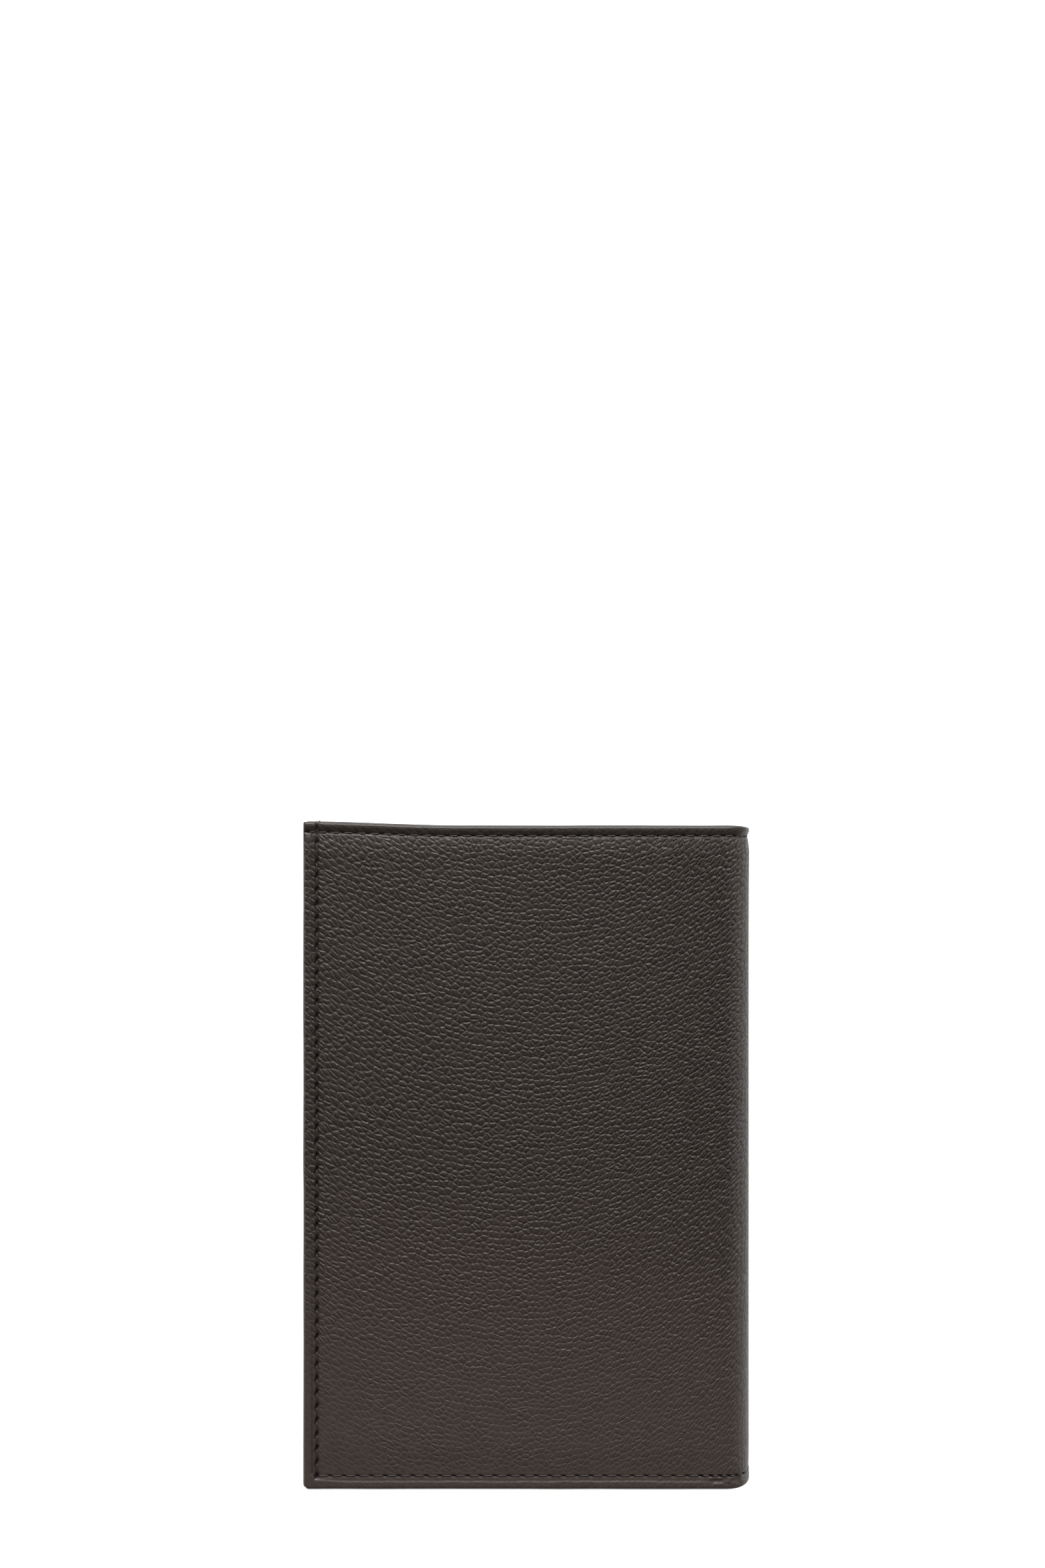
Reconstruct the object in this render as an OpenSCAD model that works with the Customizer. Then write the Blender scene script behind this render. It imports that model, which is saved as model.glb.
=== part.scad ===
// Closed leather passport holder, lying on its front cover, spine at +X.
// It is sized round a passport and three cards, and built up in layers as it is sewn.

/* [Passport] */
// Width of a closed passport
passport_w = 88; // [80:0.5:96]
// Height of a passport
passport_h = 125; // [110:0.5:140]
// Play across a passport, between the side welt and the spine
passport_play_w = 1.6; // [1:0.1:4]
// Play along a passport, between the bottom and top welts
passport_play_h = 2; // [1:0.1:5]
// Room between the pockets of the closed holder for the passport's pages
passport_room = 4.8; // [4.4:0.1:9]

/* [Leather shell] */
// Thickness of the outer leather
leather_t = 0.8; // [0.6:0.05:1]
// Width of the edge that is turned in round the stiffener
hem_w = 6; // [5:0.5:9]
// Width of the mitre slits in the turned-in corners
mitre_w = 0.2; // [0.1:0.1:0.5]
// Outer radius of each fold of the spine
fold_r = 5.2; // [4.8:0.1:6.5]
// Gap between two bodies of the shell, at the outside of a fold
fold_gap = 0.1; // [0.05:0.05:0.3]

/* [Fillings and linings] */
// Thickness of the foam pads
foam_t = 0.4; // [0.3:0.05:0.6]
// Thickness of the stiffener boards
board_t = 0.6; // [0.4:0.05:0.8]
// Corner radius of the boards
board_corner_r = 0.4; // [0.2:0.1:2]
// Distance by which a board stops short of a fold
board_back = 0.5; // [0.2:0.1:1.5]
// Thickness of the cloth linings
lining_t = 0.2; // [0.1:0.05:0.3]
// Gap round the shell lining inside the turned-in edge
lining_gap = 0.2; // [0.1:0.1:1]

/* [Inner leather] */
// Thickness of the inner leather
inner_t = 0.6; // [0.4:0.05:0.8]
// Distance from the shell's edge to the edge of the inner leather
inner_inset = 1; // [0.8:0.1:1.5]
// Width of the open mouth between the top hem and the inner leather
bill_mouth = 1; // [0.5:0.5:8]

/* [Passport and slip pockets] */
// Thickness of the pocket leather
pocket_t = 0.6; // [0.4:0.05:0.8]
// Thickness of the welts that give a pocket its depth
welt_t = 0.5; // [0.4:0.05:1]
// Width of the welt along the free side
side_welt_w = 3.5; // [2.5:0.1:5]
// Width of the welt along the bottom
bottom_welt_w = 4; // [3:0.1:6]
// Width of the welt along the top
top_welt_w = 6; // [3:0.1:8]
// How far the passport pocket reaches from the free side
passport_pocket_w = 58; // [40:1:70]
// Least distance of the slip pocket's mouth from the fold
slip_back = 0.5; // [0.3:0.1:3]

/* [Card pockets] */
// Width of a card
card_w = 85.6; // [80:0.1:90]
// Height of a card
card_h = 54; // [50:0.1:60]
// Play across a card
card_play = 0.7; // [0.5:0.1:2]
// How much of a card stands out of its pocket
card_show = 10; // [6:0.5:16]
// Step from one pocket mouth to the next
card_step = 12; // [11:0.5:14]
// How far a strip reaches under the mouth of the next one
card_lap = 8; // [5:0.5:10]
// Thickness of the card pocket leather
card_leather_t = 0.5; // [0.4:0.05:0.7]
// Thickness of the cloth tongues
tongue_t = 0.2; // [0.1:0.05:0.3]
// Gap left for each card when the pockets are empty
slot_gap = 0.2; // [0.1:0.05:0.4]
// Width of the left card welt, along the free side
card_welt_w = 2.6; // [2:0.1:4]
// Width of the right card welt, beside the spine
card_seam_w = 1.9; // [1.6:0.1:4]
// Length of the slope where a strip drops off the one behind it
slope_l = 3; // [2:0.5:4]
// Gap between a strip's end and the slope of the next strip
slope_gap = 0.5; // [0.2:0.1:1]
// Length of a tongue's end that is sewn down
tongue_foot = 2; // [1:0.5:3]
// Gap at the sides and ends of the tongues
tongue_gap = 0.4; // [0.2:0.1:1]

/* [Seams] */
// Distance of the side and bottom seam from the edge
seam_in = 3; // [2.5:0.1:4]
// Distance of the top seam from the edge
top_seam_in = 2; // [1.8:0.1:3]
// Distance of the pocket mouth seam from the mouth
mouth_seam_in = 2; // [1.5:0.1:4]
// Stitch length from hole to hole
stitch_pitch = 3; // [2.2:0.1:5]
// Width of the seam groove
groove_w = 1.1; // [0.8:0.1:1.6]
// Depth of the seam groove
groove_depth = 0.4; // [0.35:0.05:0.5]
// Length of thread that shows between two holes
thread_l = 1.9; // [1:0.1:2.1]
// Width of the thread
thread_w = 0.6; // [0.4:0.05:0.8]
// Height of the thread above the groove's floor
thread_t = 0.3; // [0.2:0.05:0.35]

/* [Hidden] */
$fn = 64;

// Depths, counted inwards from a cover's outer face.
edge_t = 2 * leather_t + foam_t + board_t;          // the turned edge, the thickness of a bare cover
edge_r = edge_t / 2;                                // radius of the rolled edge
board_depth = leather_t + foam_t;                   // outer face of the stiffener
lining_depth = edge_t - leather_t;                  // outer face of the shell lining and of the hem
inner_depth = edge_t + lining_t;                    // outer face of the inner leather
wall_t = inner_depth + inner_t;                     // from the outside to the inner leather's face
panel_depth = wall_t + welt_t;                      // underside of a passport or slip pocket panel
pocket_depth = panel_depth + pocket_t;              // its face
strip_depth = pocket_depth + 3 * slot_gap + 2 * tongue_t;   // underside of a card strip lying low
strip_face = strip_depth + card_leather_t;          // its face
strip_up = strip_face + slot_gap;                   // underside of a card strip lying over another
card_depth = strip_up + card_leather_t;             // face of the highest strip
card_welt_t = strip_depth - pocket_depth;

// Outside sizes: whichever of the passport and the cards needs more width.
passport_fit_w = inner_inset + side_welt_w + passport_w + passport_play_w + wall_t;
card_fit_w = inner_inset + card_welt_w + card_w + card_play + card_seam_w + slip_back + fold_r;
holder_w = max(passport_fit_w, card_fit_w);
holder_h = inner_inset + bottom_welt_w + passport_h + passport_play_h + top_welt_w + bill_mouth + hem_w;
holder_t = pocket_depth + passport_room + card_depth;

// Places across the holder, from the free side (-X) to the spine (+X).
free_x = -holder_w / 2;
fold_x = holder_w / 2 - fold_r;                     // where the covers start to bend
inner_x = free_x + inner_inset;
corner_r = edge_r + board_corner_r;                 // the cover's corner, seen from above
inner_corner_r = max(0, corner_r - inner_inset);
passport_mouth_x = free_x + passport_pocket_w;
card_left_x = inner_x + card_welt_w;
card_right_x = card_left_x + card_w + card_play;
strip_right_x = card_right_x + card_seam_w;
slip_mouth_x = strip_right_x;                       // flush with the card strips

// Places along the holder, from the bottom (-Y) to the top (+Y).
bottom_y = -holder_h / 2;
top_y = holder_h / 2;
inner_bottom_y = bottom_y + inner_inset;
inner_top_y = top_y - hem_w - bill_mouth;
card_bottom_y = inner_bottom_y + bottom_welt_w;
card_mouths_y = [for (i = [2:-1:0]) card_bottom_y + card_h - card_show + i * card_step];
strip_ends_y = [for (y = card_mouths_y) y - card_step - card_lap];
slopes_y = [for (y = strip_ends_y) y - slope_gap - slope_l];   // foot of the slope of the next strip
card_stops_y = [for (y = card_mouths_y) y + card_show - card_h - tongue_gap];

// Seams.
seam_x = free_x + seam_in;
seam_y = bottom_y + seam_in;
top_seam_y = top_y - top_seam_in;
passport_seam_x = passport_mouth_x - mouth_seam_in;
card_seam_x = (card_right_x + strip_right_x) / 2;

// Start and turn of each body's share of a fold, about the fold's centre line.
// 90 is where the cover's flat meets it, 0 is where the spine's flat meets it.
fold_share = 45 - asin(fold_gap / 2 / fold_r);
cover_fold = [90, -fold_share];
spine_fold = [0, fold_share];

leather_brown = [0.24, 0.2, 0.18];
inner_brown = [0.3, 0.23, 0.19];
cloth_brown = [0.42, 0.36, 0.31];
thread_brown = [0.2, 0.16, 0.14];
board_grey = [0.62, 0.6, 0.56];
foam_white = [0.9, 0.89, 0.86];

// ---- Sweeps. A section is drawn with x as the holder's Y and y as the depth from outside.

// Sweeps a section straight along a cover, from x0 to x1.
module along_cover(x0, x1) {
    rotate([90, 0, 90]) translate([0, 0, x0]) linear_extrude(x1 - x0) children();
}

// Turns a section round the front fold, over one body's share of it.
module round_fold(share) {
    translate([fold_x, 0, fold_r]) rotate([-90, 0, 0]) rotate([0, 0, share[0]])
        rotate_extrude(angle = share[1]) translate([fold_r, 0]) rotate(90) children();
}

// Sweeps a section up the flat of the spine, between the two folds, short of them by back.
module up_spine(back = 0) {
    translate([holder_w / 2, 0, fold_r + back]) rotate([0, 0, 90])
        linear_extrude(holder_t - 2 * (fold_r + back)) children();
}

// Places what is drawn for the front cover on the back cover.
module on_back() {
    translate([0, 0, holder_t]) mirror([0, 0, 1]) children();
}

// A section through one layer, from y0 to y1, depth d0 to d1.
module layer_section(y0, y1, d0, d1) {
    translate([y0, d0]) square([y1 - y0, d1 - d0]);
}

// A flat plate on a cover, x0 to x1, y0 to y1, depth d0 to d1, its two free corners rounded by r.
module plate(x0, x1, y0, y1, d0, d1, r = 0) {
    translate([0, 0, d0]) linear_extrude(d1 - d0) {
        translate([x0 + r, y0]) square([x1 - x0 - r, y1 - y0]);
        if (r > 0) {
            translate([x0, y0 + r]) square([r, y1 - y0 - 2 * r]);
            for (y = [y0 + r, y1 - r]) translate([x0 + r, y]) intersection() {
                circle(r);
                translate([-r, y < (y0 + y1) / 2 ? -r : 0]) square(r);
            }
        }
    }
}

// One layer of a cover with its share of the fold.
module cover_layer(x0, y0, y1, d0, d1, r = 0) {
    plate(x0, fold_x, y0, y1, d0, d1, r);
    round_fold(cover_fold) layer_section(y0, y1, d0, d1);
}

// One layer of the spine: its flat and its share of both folds.
module spine_layer(y0, y1, d0, d1) {
    up_spine() layer_section(y0, y1, d0, d1);
    round_fold(spine_fold) layer_section(y0, y1, d0, d1);
    on_back() round_fold(spine_fold) layer_section(y0, y1, d0, d1);
}

// ---- The leather shell with its turned edge.

module half_disc(r) {
    intersection() {
        circle(r);
        translate([0, -r]) square([r, 2 * r]);
    }
}

// Half of the rolled edge, a ring of leather, with l of flat leather before it.
module rolled_edge(l) {
    for (d = [0, lining_depth]) translate([0, d]) square([l, leather_t]);
    translate([l, edge_r]) difference() {
        half_disc(edge_r);
        half_disc(edge_r - leather_t);
    }
}

// The shell from bottom to top: outer leather, rolled edges, and turned-in edges of hem width.
module shell_section(hem) {
    translate([bottom_y + edge_r, 0]) square([holder_h - edge_t, leather_t]);
    for (s = [0, 1]) mirror([s, 0]) translate([top_y - edge_r, 0]) {
        translate([edge_r - hem, lining_depth]) square([hem - edge_r, leather_t]);
        translate([0, edge_r]) difference() {
            half_disc(edge_r);
            half_disc(edge_r - leather_t);
        }
    }
}

// The same with the seam grooves of the bottom and top rows, for the folds and the spine.
module grooved_section() {
    difference() {
        shell_section(hem_w);
        for (y = [seam_y, top_seam_y]) translate([y - groove_w / 2, -groove_depth])
            square([groove_w, 2 * groove_depth]);
    }
}

module shell_corner(y, turn) {
    translate([free_x + corner_r, y, 0]) rotate([0, 0, turn])
        rotate_extrude(angle = 90) rolled_edge(board_corner_r);
}

module seam_groove(x0, x1, y0, y1) {
    translate([x0, y0, -groove_depth]) cube([x1 - x0, y1 - y0, 2 * groove_depth]);
}

// Slit where the turned-in side and end meet in a corner.
module mitre_slit(y, turn) {
    translate([free_x + hem_w, y, lining_depth]) rotate([0, 0, turn])
        translate([-mitre_w, -mitre_w / 2, -mitre_w / 2])
        cube([(hem_w - edge_r) * sqrt(2) + mitre_w, mitre_w, leather_t + mitre_w]);
}

module cover_shell() {
    difference() {
        union() {
            along_cover(free_x + corner_r, free_x + hem_w) shell_section(holder_h / 2);
            along_cover(free_x + hem_w, fold_x) shell_section(hem_w);
            translate([free_x + corner_r, top_y - corner_r, 0]) rotate([90, 0, 0])
                linear_extrude(holder_h - 2 * corner_r) mirror([1, 0]) rolled_edge(board_corner_r);
            shell_corner(top_y - corner_r, 90);
            shell_corner(bottom_y + corner_r, 180);
        }
        seam_groove(seam_x - groove_w / 2, seam_x + groove_w / 2, seam_y - groove_w / 2, top_y);
        seam_groove(seam_x, fold_x, seam_y - groove_w / 2, seam_y + groove_w / 2);
        seam_groove(free_x, fold_x, top_seam_y - groove_w / 2, top_seam_y + groove_w / 2);
        mitre_slit(bottom_y + hem_w, 225);
        mitre_slit(top_y - hem_w, 135);
    }
    round_fold(cover_fold) grooved_section();
}

// ---- What is the same inside both covers.

module cover_foam() {
    cover_layer(free_x + edge_r, bottom_y + edge_r, top_y - edge_r, leather_t, board_depth, board_corner_r);
}

module cover_board() {
    plate(free_x + edge_r, fold_x - board_back, bottom_y + edge_r, top_y - edge_r,
        board_depth, lining_depth, board_corner_r);
}

module cover_lining() {
    cover_layer(free_x + hem_w + lining_gap, bottom_y + hem_w + lining_gap, top_y - hem_w - lining_gap,
        lining_depth, lining_depth + lining_t);
}

// A layer of the inner wall of the bill compartment.
module inner_layer(d0, d1) {
    cover_layer(inner_x, inner_bottom_y, inner_top_y, d0, d1, inner_corner_r);
}

module side_welt() {
    plate(inner_x, inner_x + side_welt_w, inner_bottom_y, inner_top_y, wall_t, panel_depth,
        inner_corner_r);
}

module bottom_welt(mouth_x) {
    plate(inner_x + side_welt_w, mouth_x, inner_bottom_y, inner_bottom_y + bottom_welt_w,
        wall_t, panel_depth);
}

module top_welt(mouth_x) {
    plate(inner_x + side_welt_w, mouth_x, inner_top_y - top_welt_w, inner_top_y, wall_t, panel_depth);
}

module pocket_panel(mouth_x) {
    plate(inner_x, mouth_x, inner_bottom_y, inner_top_y, panel_depth, pocket_depth,
        inner_corner_r);
}

// ---- Stitches. A stitch is the length of thread that shows, lying along X under the plane z = 0.

module thread_bit() {
    translate([-thread_l / 2, -thread_w / 2, -thread_t]) cube([thread_l, thread_w, thread_t]);
}

// Stitches centred on a line of length l from the origin along X.
module stitch_line(l) {
    n = floor(l / stitch_pitch);
    for (i = [0:1:n - 1]) translate([l / 2 + (i - (n - 1) / 2) * stitch_pitch, 0, 0]) thread_bit();
}

// A row on the floor of a cover's groove, from x0 to the fold.
module outer_row(x0, y) {
    translate([x0, y, groove_depth]) stitch_line(fold_x - x0);
}

// One stitch on the floor of the groove in the fold, in the middle of one body's share.
module fold_stitch(y, share) {
    translate([fold_x, y, fold_r]) rotate([0, share[0] + share[1] / 2 - 90, 0])
        translate([0, 0, groove_depth - fold_r]) thread_bit();
}

// Rows on the inside, lying on a face at the given depth.
module inner_row_x(x0, x1, y, depth) {
    translate([x0, y, depth]) mirror([0, 0, 1]) stitch_line(x1 - x0);
}

module inner_row_y(x, y0, y1, depth) {
    translate([x, y0, depth]) mirror([0, 0, 1]) rotate([0, 0, 90]) stitch_line(y1 - y0);
}

// The side and bottom seam where it shows outside.
module seam_outside() {
    outer_row(seam_x, seam_y);
    fold_stitch(seam_y, cover_fold);
    translate([seam_x, seam_y, groove_depth]) rotate([0, 0, 90])
        stitch_line(top_seam_y - seam_y - groove_w);
}

module top_row() {
    outer_row(free_x + corner_r, top_seam_y);
    fold_stitch(top_seam_y, cover_fold);
}

// A row down the stepped faces of the card pockets, from the top of the slip pocket.
module stepped_row(x) {
    inner_row_y(x, card_mouths_y[0], inner_top_y, pocket_depth);
    inner_row_y(x, card_mouths_y[1], card_mouths_y[0], strip_face);
    for (i = [1, 2]) inner_row_y(x, slopes_y[i - 1] + slope_l, card_mouths_y[i], card_depth);
    inner_row_y(x, seam_y, slopes_y[1], strip_face);
}

// ---- Card pockets, drawn as sections (Y, depth) and swept across the cover.

// A card strip, from its sewn lower end to its rounded mouth. Where the strip before it ends,
// it climbs a slope and lies over that strip, with room for a card between them.
module strip_section(i) {
    r = card_leather_t / 2;
    end_y = i == 2 ? inner_bottom_y : strip_ends_y[i];
    mouth_y = card_mouths_y[i] - r;
    under = i == 0 ? [[end_y, strip_depth], [mouth_y, strip_depth]]
        : [[end_y, strip_depth], [slopes_y[i - 1], strip_depth],
           [slopes_y[i - 1] + slope_l, strip_up], [mouth_y, strip_up]];
    over = [for (k = [len(under) - 1:-1:0]) under[k] + [0, card_leather_t]];
    polygon(concat(under, over));
    translate([mouth_y, under[len(under) - 1][1] + r]) half_disc(r);
}

// The cloth tongue of pocket i: sewn under its strip, hanging flat behind the next pocket,
// and sewn down to the slip pocket's panel at its foot, where the card stops.
module tongue_section(i) {
    top_y = i == 0 ? card_mouths_y[0] - card_leather_t : slopes_y[i - 1];
    own_depth = pocket_depth + (i + 1) * slot_gap + i * tongue_t;
    under = [
        [card_stops_y[i] - 2 * tongue_foot, pocket_depth],
        [card_stops_y[i] - tongue_foot, pocket_depth],
        [card_stops_y[i], own_depth],
        [strip_ends_y[i] - slope_l, own_depth],
        [strip_ends_y[i], strip_depth - tongue_t],
        [top_y, strip_depth - tongue_t]
    ];
    over = [for (k = [len(under) - 1:-1:0]) under[k] + [0, tongue_t]];
    polygon(concat(under, over));
}

module card_strip(i) {
    along_cover(inner_x, strip_right_x) strip_section(i);
}

module card_tongue(i) {
    along_cover(card_left_x + tongue_gap, card_right_x - tongue_gap) tongue_section(i);
}

module card_welt(x0, x1, y1, r = 0) {
    plate(x0, x1, inner_bottom_y, y1, pocket_depth, strip_depth, r);
}

// ---- Front cover: lies on the table, holds the passport pocket.

module front_shell_leather() color(leather_brown) cover_shell();
module front_foam_pad() color(foam_white) cover_foam();
module front_stiffener_board() color(board_grey) cover_board();
module front_shell_lining() color(cloth_brown) cover_lining();
module front_compartment_lining() color(cloth_brown) inner_layer(edge_t, inner_depth);
module front_inner_leather() color(inner_brown) inner_layer(inner_depth, wall_t);
module passport_welt_side() color(inner_brown) side_welt();
module passport_welt_bottom() color(inner_brown) bottom_welt(passport_mouth_x);
module passport_welt_top() color(inner_brown) top_welt(passport_mouth_x);
module passport_pocket_panel() color(inner_brown) pocket_panel(passport_mouth_x);

module front_seam_stitches() color(thread_brown) {
    seam_outside();
    inner_row_y(seam_x, seam_y, inner_top_y, pocket_depth);
    inner_row_x(seam_x, passport_mouth_x, seam_y, pocket_depth);
    inner_row_x(passport_mouth_x, fold_x, seam_y, wall_t);
}

module front_top_stitches() color(thread_brown) top_row();

module passport_pocket_stitches() color(thread_brown)
    inner_row_y(passport_seam_x, seam_y + thread_l, inner_top_y, pocket_depth);

// ---- Spine: between the two folds.

module spine_shell_leather() color(leather_brown) {
    up_spine() grooved_section();
    round_fold(spine_fold) grooved_section();
    on_back() round_fold(spine_fold) grooved_section();
}

module spine_foam_pad() color(foam_white)
    spine_layer(bottom_y + edge_r, top_y - edge_r, leather_t, board_depth);

module spine_stay() color(board_grey)
    up_spine(board_back) layer_section(bottom_y + edge_r, top_y - edge_r, board_depth, lining_depth);

module spine_shell_lining() color(cloth_brown)
    spine_layer(bottom_y + hem_w + lining_gap, top_y - hem_w - lining_gap,
        lining_depth, lining_depth + lining_t);

module spine_compartment_lining() color(cloth_brown)
    spine_layer(inner_bottom_y, inner_top_y, edge_t, inner_depth);

module spine_inner_leather() color(inner_brown)
    spine_layer(inner_bottom_y, inner_top_y, inner_depth, wall_t);

module spine_stitches() color(thread_brown) for (y = [seam_y, top_seam_y]) {
    translate([holder_w / 2 - groove_depth, y, fold_r]) rotate([0, -90, 0])
        stitch_line(holder_t - 2 * fold_r);
    fold_stitch(y, spine_fold);
    on_back() fold_stitch(y, spine_fold);
}

// ---- Back cover: on top, faces the camera, holds the slip pocket and the card pockets.

module back_shell_leather() color(leather_brown) on_back() cover_shell();
module back_foam_pad() color(foam_white) on_back() cover_foam();
module back_stiffener_board() color(board_grey) on_back() cover_board();
module back_shell_lining() color(cloth_brown) on_back() cover_lining();
module back_compartment_lining() color(cloth_brown) on_back() inner_layer(edge_t, inner_depth);
module back_inner_leather() color(inner_brown) on_back() inner_layer(inner_depth, wall_t);
module slip_welt_side() color(inner_brown) on_back() side_welt();
module slip_welt_bottom() color(inner_brown) on_back() bottom_welt(slip_mouth_x);
module slip_welt_top() color(inner_brown) on_back() top_welt(slip_mouth_x);
module slip_pocket_panel() color(inner_brown) on_back() pocket_panel(slip_mouth_x);

module card_welt_left() color(inner_brown) on_back()
    card_welt(inner_x, card_left_x, card_mouths_y[0], inner_corner_r);

module card_welt_right() color(inner_brown) on_back()
    card_welt(card_right_x, strip_right_x, card_mouths_y[0]);

module card_welt_bottom() color(inner_brown) on_back()
    card_welt(card_left_x, card_right_x, card_bottom_y);

module card_tongue_upper() color(cloth_brown) on_back() card_tongue(0);
module card_tongue_middle() color(cloth_brown) on_back() card_tongue(1);
module card_pocket_upper() color(inner_brown) on_back() card_strip(0);
module card_pocket_middle() color(inner_brown) on_back() card_strip(1);
module card_pocket_lower() color(inner_brown) on_back() card_strip(2);

module back_seam_stitches() color(thread_brown) on_back() {
    seam_outside();
    stepped_row(seam_x);
    inner_row_x(seam_x, card_seam_x, seam_y, strip_face);
}

module back_top_stitches() color(thread_brown) on_back() top_row();
module card_seam_stitches() color(thread_brown) on_back() stepped_row(card_seam_x);

front_shell_leather();
front_foam_pad();
front_stiffener_board();
front_shell_lining();
front_compartment_lining();
front_inner_leather();
passport_welt_side();
passport_welt_bottom();
passport_welt_top();
passport_pocket_panel();
front_seam_stitches();
front_top_stitches();
passport_pocket_stitches();
spine_shell_leather();
spine_foam_pad();
spine_stay();
spine_shell_lining();
spine_compartment_lining();
spine_inner_leather();
spine_stitches();
back_shell_leather();
back_foam_pad();
back_stiffener_board();
back_shell_lining();
back_compartment_lining();
back_inner_leather();
slip_welt_side();
slip_welt_bottom();
slip_welt_top();
slip_pocket_panel();
card_welt_left();
card_welt_right();
card_welt_bottom();
card_tongue_upper();
card_tongue_middle();
card_pocket_upper();
card_pocket_middle();
card_pocket_lower();
back_seam_stitches();
back_top_stitches();
card_seam_stitches();
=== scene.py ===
# %% [markdown]
# # A closed passport holder in dark brown grained leather
# The holder lies on its front cover, with its back cover towards the camera and its spine on
# the right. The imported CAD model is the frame: it gives every size and place, and its bodies
# carry what is made here. Blender adds what a knife and a straight edge can't: grain, soft
# edges, sewn seams and light.

# %% Load the frame
import math

import bpy
import numpy as np
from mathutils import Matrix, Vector
from mathutils.bvhtree import BVHTree


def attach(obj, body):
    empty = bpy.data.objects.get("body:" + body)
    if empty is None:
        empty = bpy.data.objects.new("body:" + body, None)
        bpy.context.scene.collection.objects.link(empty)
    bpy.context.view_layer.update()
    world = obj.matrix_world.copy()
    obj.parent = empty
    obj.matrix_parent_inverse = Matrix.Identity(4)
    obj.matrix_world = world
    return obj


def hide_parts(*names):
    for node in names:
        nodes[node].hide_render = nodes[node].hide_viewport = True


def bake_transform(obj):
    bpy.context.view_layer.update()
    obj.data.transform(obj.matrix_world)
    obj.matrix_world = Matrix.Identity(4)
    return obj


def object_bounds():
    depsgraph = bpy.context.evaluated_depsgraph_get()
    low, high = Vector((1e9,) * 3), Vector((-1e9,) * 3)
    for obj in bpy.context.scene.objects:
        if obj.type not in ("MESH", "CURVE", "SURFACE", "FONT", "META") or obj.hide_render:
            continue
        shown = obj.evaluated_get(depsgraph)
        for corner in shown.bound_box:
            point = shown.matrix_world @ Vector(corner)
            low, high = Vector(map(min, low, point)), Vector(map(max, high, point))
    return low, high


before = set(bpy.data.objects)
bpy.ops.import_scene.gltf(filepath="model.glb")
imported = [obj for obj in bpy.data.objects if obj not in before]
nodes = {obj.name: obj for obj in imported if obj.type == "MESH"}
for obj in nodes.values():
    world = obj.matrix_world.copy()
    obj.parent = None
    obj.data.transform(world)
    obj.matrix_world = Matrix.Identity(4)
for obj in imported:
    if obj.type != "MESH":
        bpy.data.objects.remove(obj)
cad_low, cad_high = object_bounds()
print("nodes in the frame:", len(nodes))

# %% [markdown]
# ## Sizes
# A leather worker cuts flat pieces and only then turns and folds them. So every place on the
# holder is given here by its flat place in millimetres: `along`, counted across the opened
# leather from the free edge to the spine's middle, `up`, counted from the bottom edge, and
# `depth`, counted inwards from the outer face. One function folds such places into the
# closed holder. It could also be done by modelling the closed shape by hand, but then no
# layer would be sure to lie inside the next.

# %% Sizes in millimetres, the same as the source's
MM = 0.001
WIDTH, HEIGHT, THICK = [(cad_high[i] - cad_low[i]) / MM for i in range(3)]
FREE_X = cad_low[0] / MM
BOTTOM_Y = cad_low[1] / MM
# The shell's leather, its rolled edge as a whole, the turned-in hem, and the lining's depth.
LEATHER, EDGE, HEM, LINING_DEPTH = 0.8, 2.6, 6.0, 1.8
# Each fold: its outer radius, where it begins, and its length. Then half of the flat spine.
FOLD_R = 5.2
FOLD_ALONG = WIDTH - FOLD_R
ARC = FOLD_R * math.pi / 2
SPINE_HALF = THICK / 2 - FOLD_R
MIDDLE = FOLD_ALONG + ARC + SPINE_HALF
print(f"holder {WIDTH:.1f} x {HEIGHT:.1f} x {THICK:.1f} mm, half a spine ends at {MIDDLE:.2f}")

# %% [markdown]
# ## Camera
# The photograph looks straight down on the back cover, with the holder low in a tall frame.
# The named points below are the only numbers read from the photograph, in a frame 1045.33 by
# 1568. The holder's width and its height each give a distance, from the points of two edges
# and from how deep below the back face those edges show. The camera takes the mean of the
# two. The middle between the edges gives where it stands, and it needs no shift.

# %% Image points and camera
W, H = 1568 * 2 / 3, 2352 * 2 / 3
POINTS = {
    "left_edge": (303.1, 1150.0),
    "right_edge": (748.7, 1150.0),
    "top_edge": (600.0, 826.3),
    "bottom_edge": (520.0, 1488.6),
    "side_row": (316.7, 1150.0),
    "side_crease": (312.0, 1150.0),
    "top_row": (560.0, 836.1),
    "bottom_row": (520.0, 1475.9),
    "bottom_ridge": (520.0, 1481.6),
    "corner_hole": (316.7, 1474.9),
    "back_tack": (314.6, 836.7),
    "top_left_corner": (303.3, 822.3),
    "spine_row_top": (748.0, 836.0),
    "spine_row_bottom": (748.2, 1470.2),
}
LENS, SENSOR = 100.0, 36.0
LONG_SIDE = max(W, H)
ZOOM = LONG_SIDE * LENS / SENSOR
back_face = cad_high[2]
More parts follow.
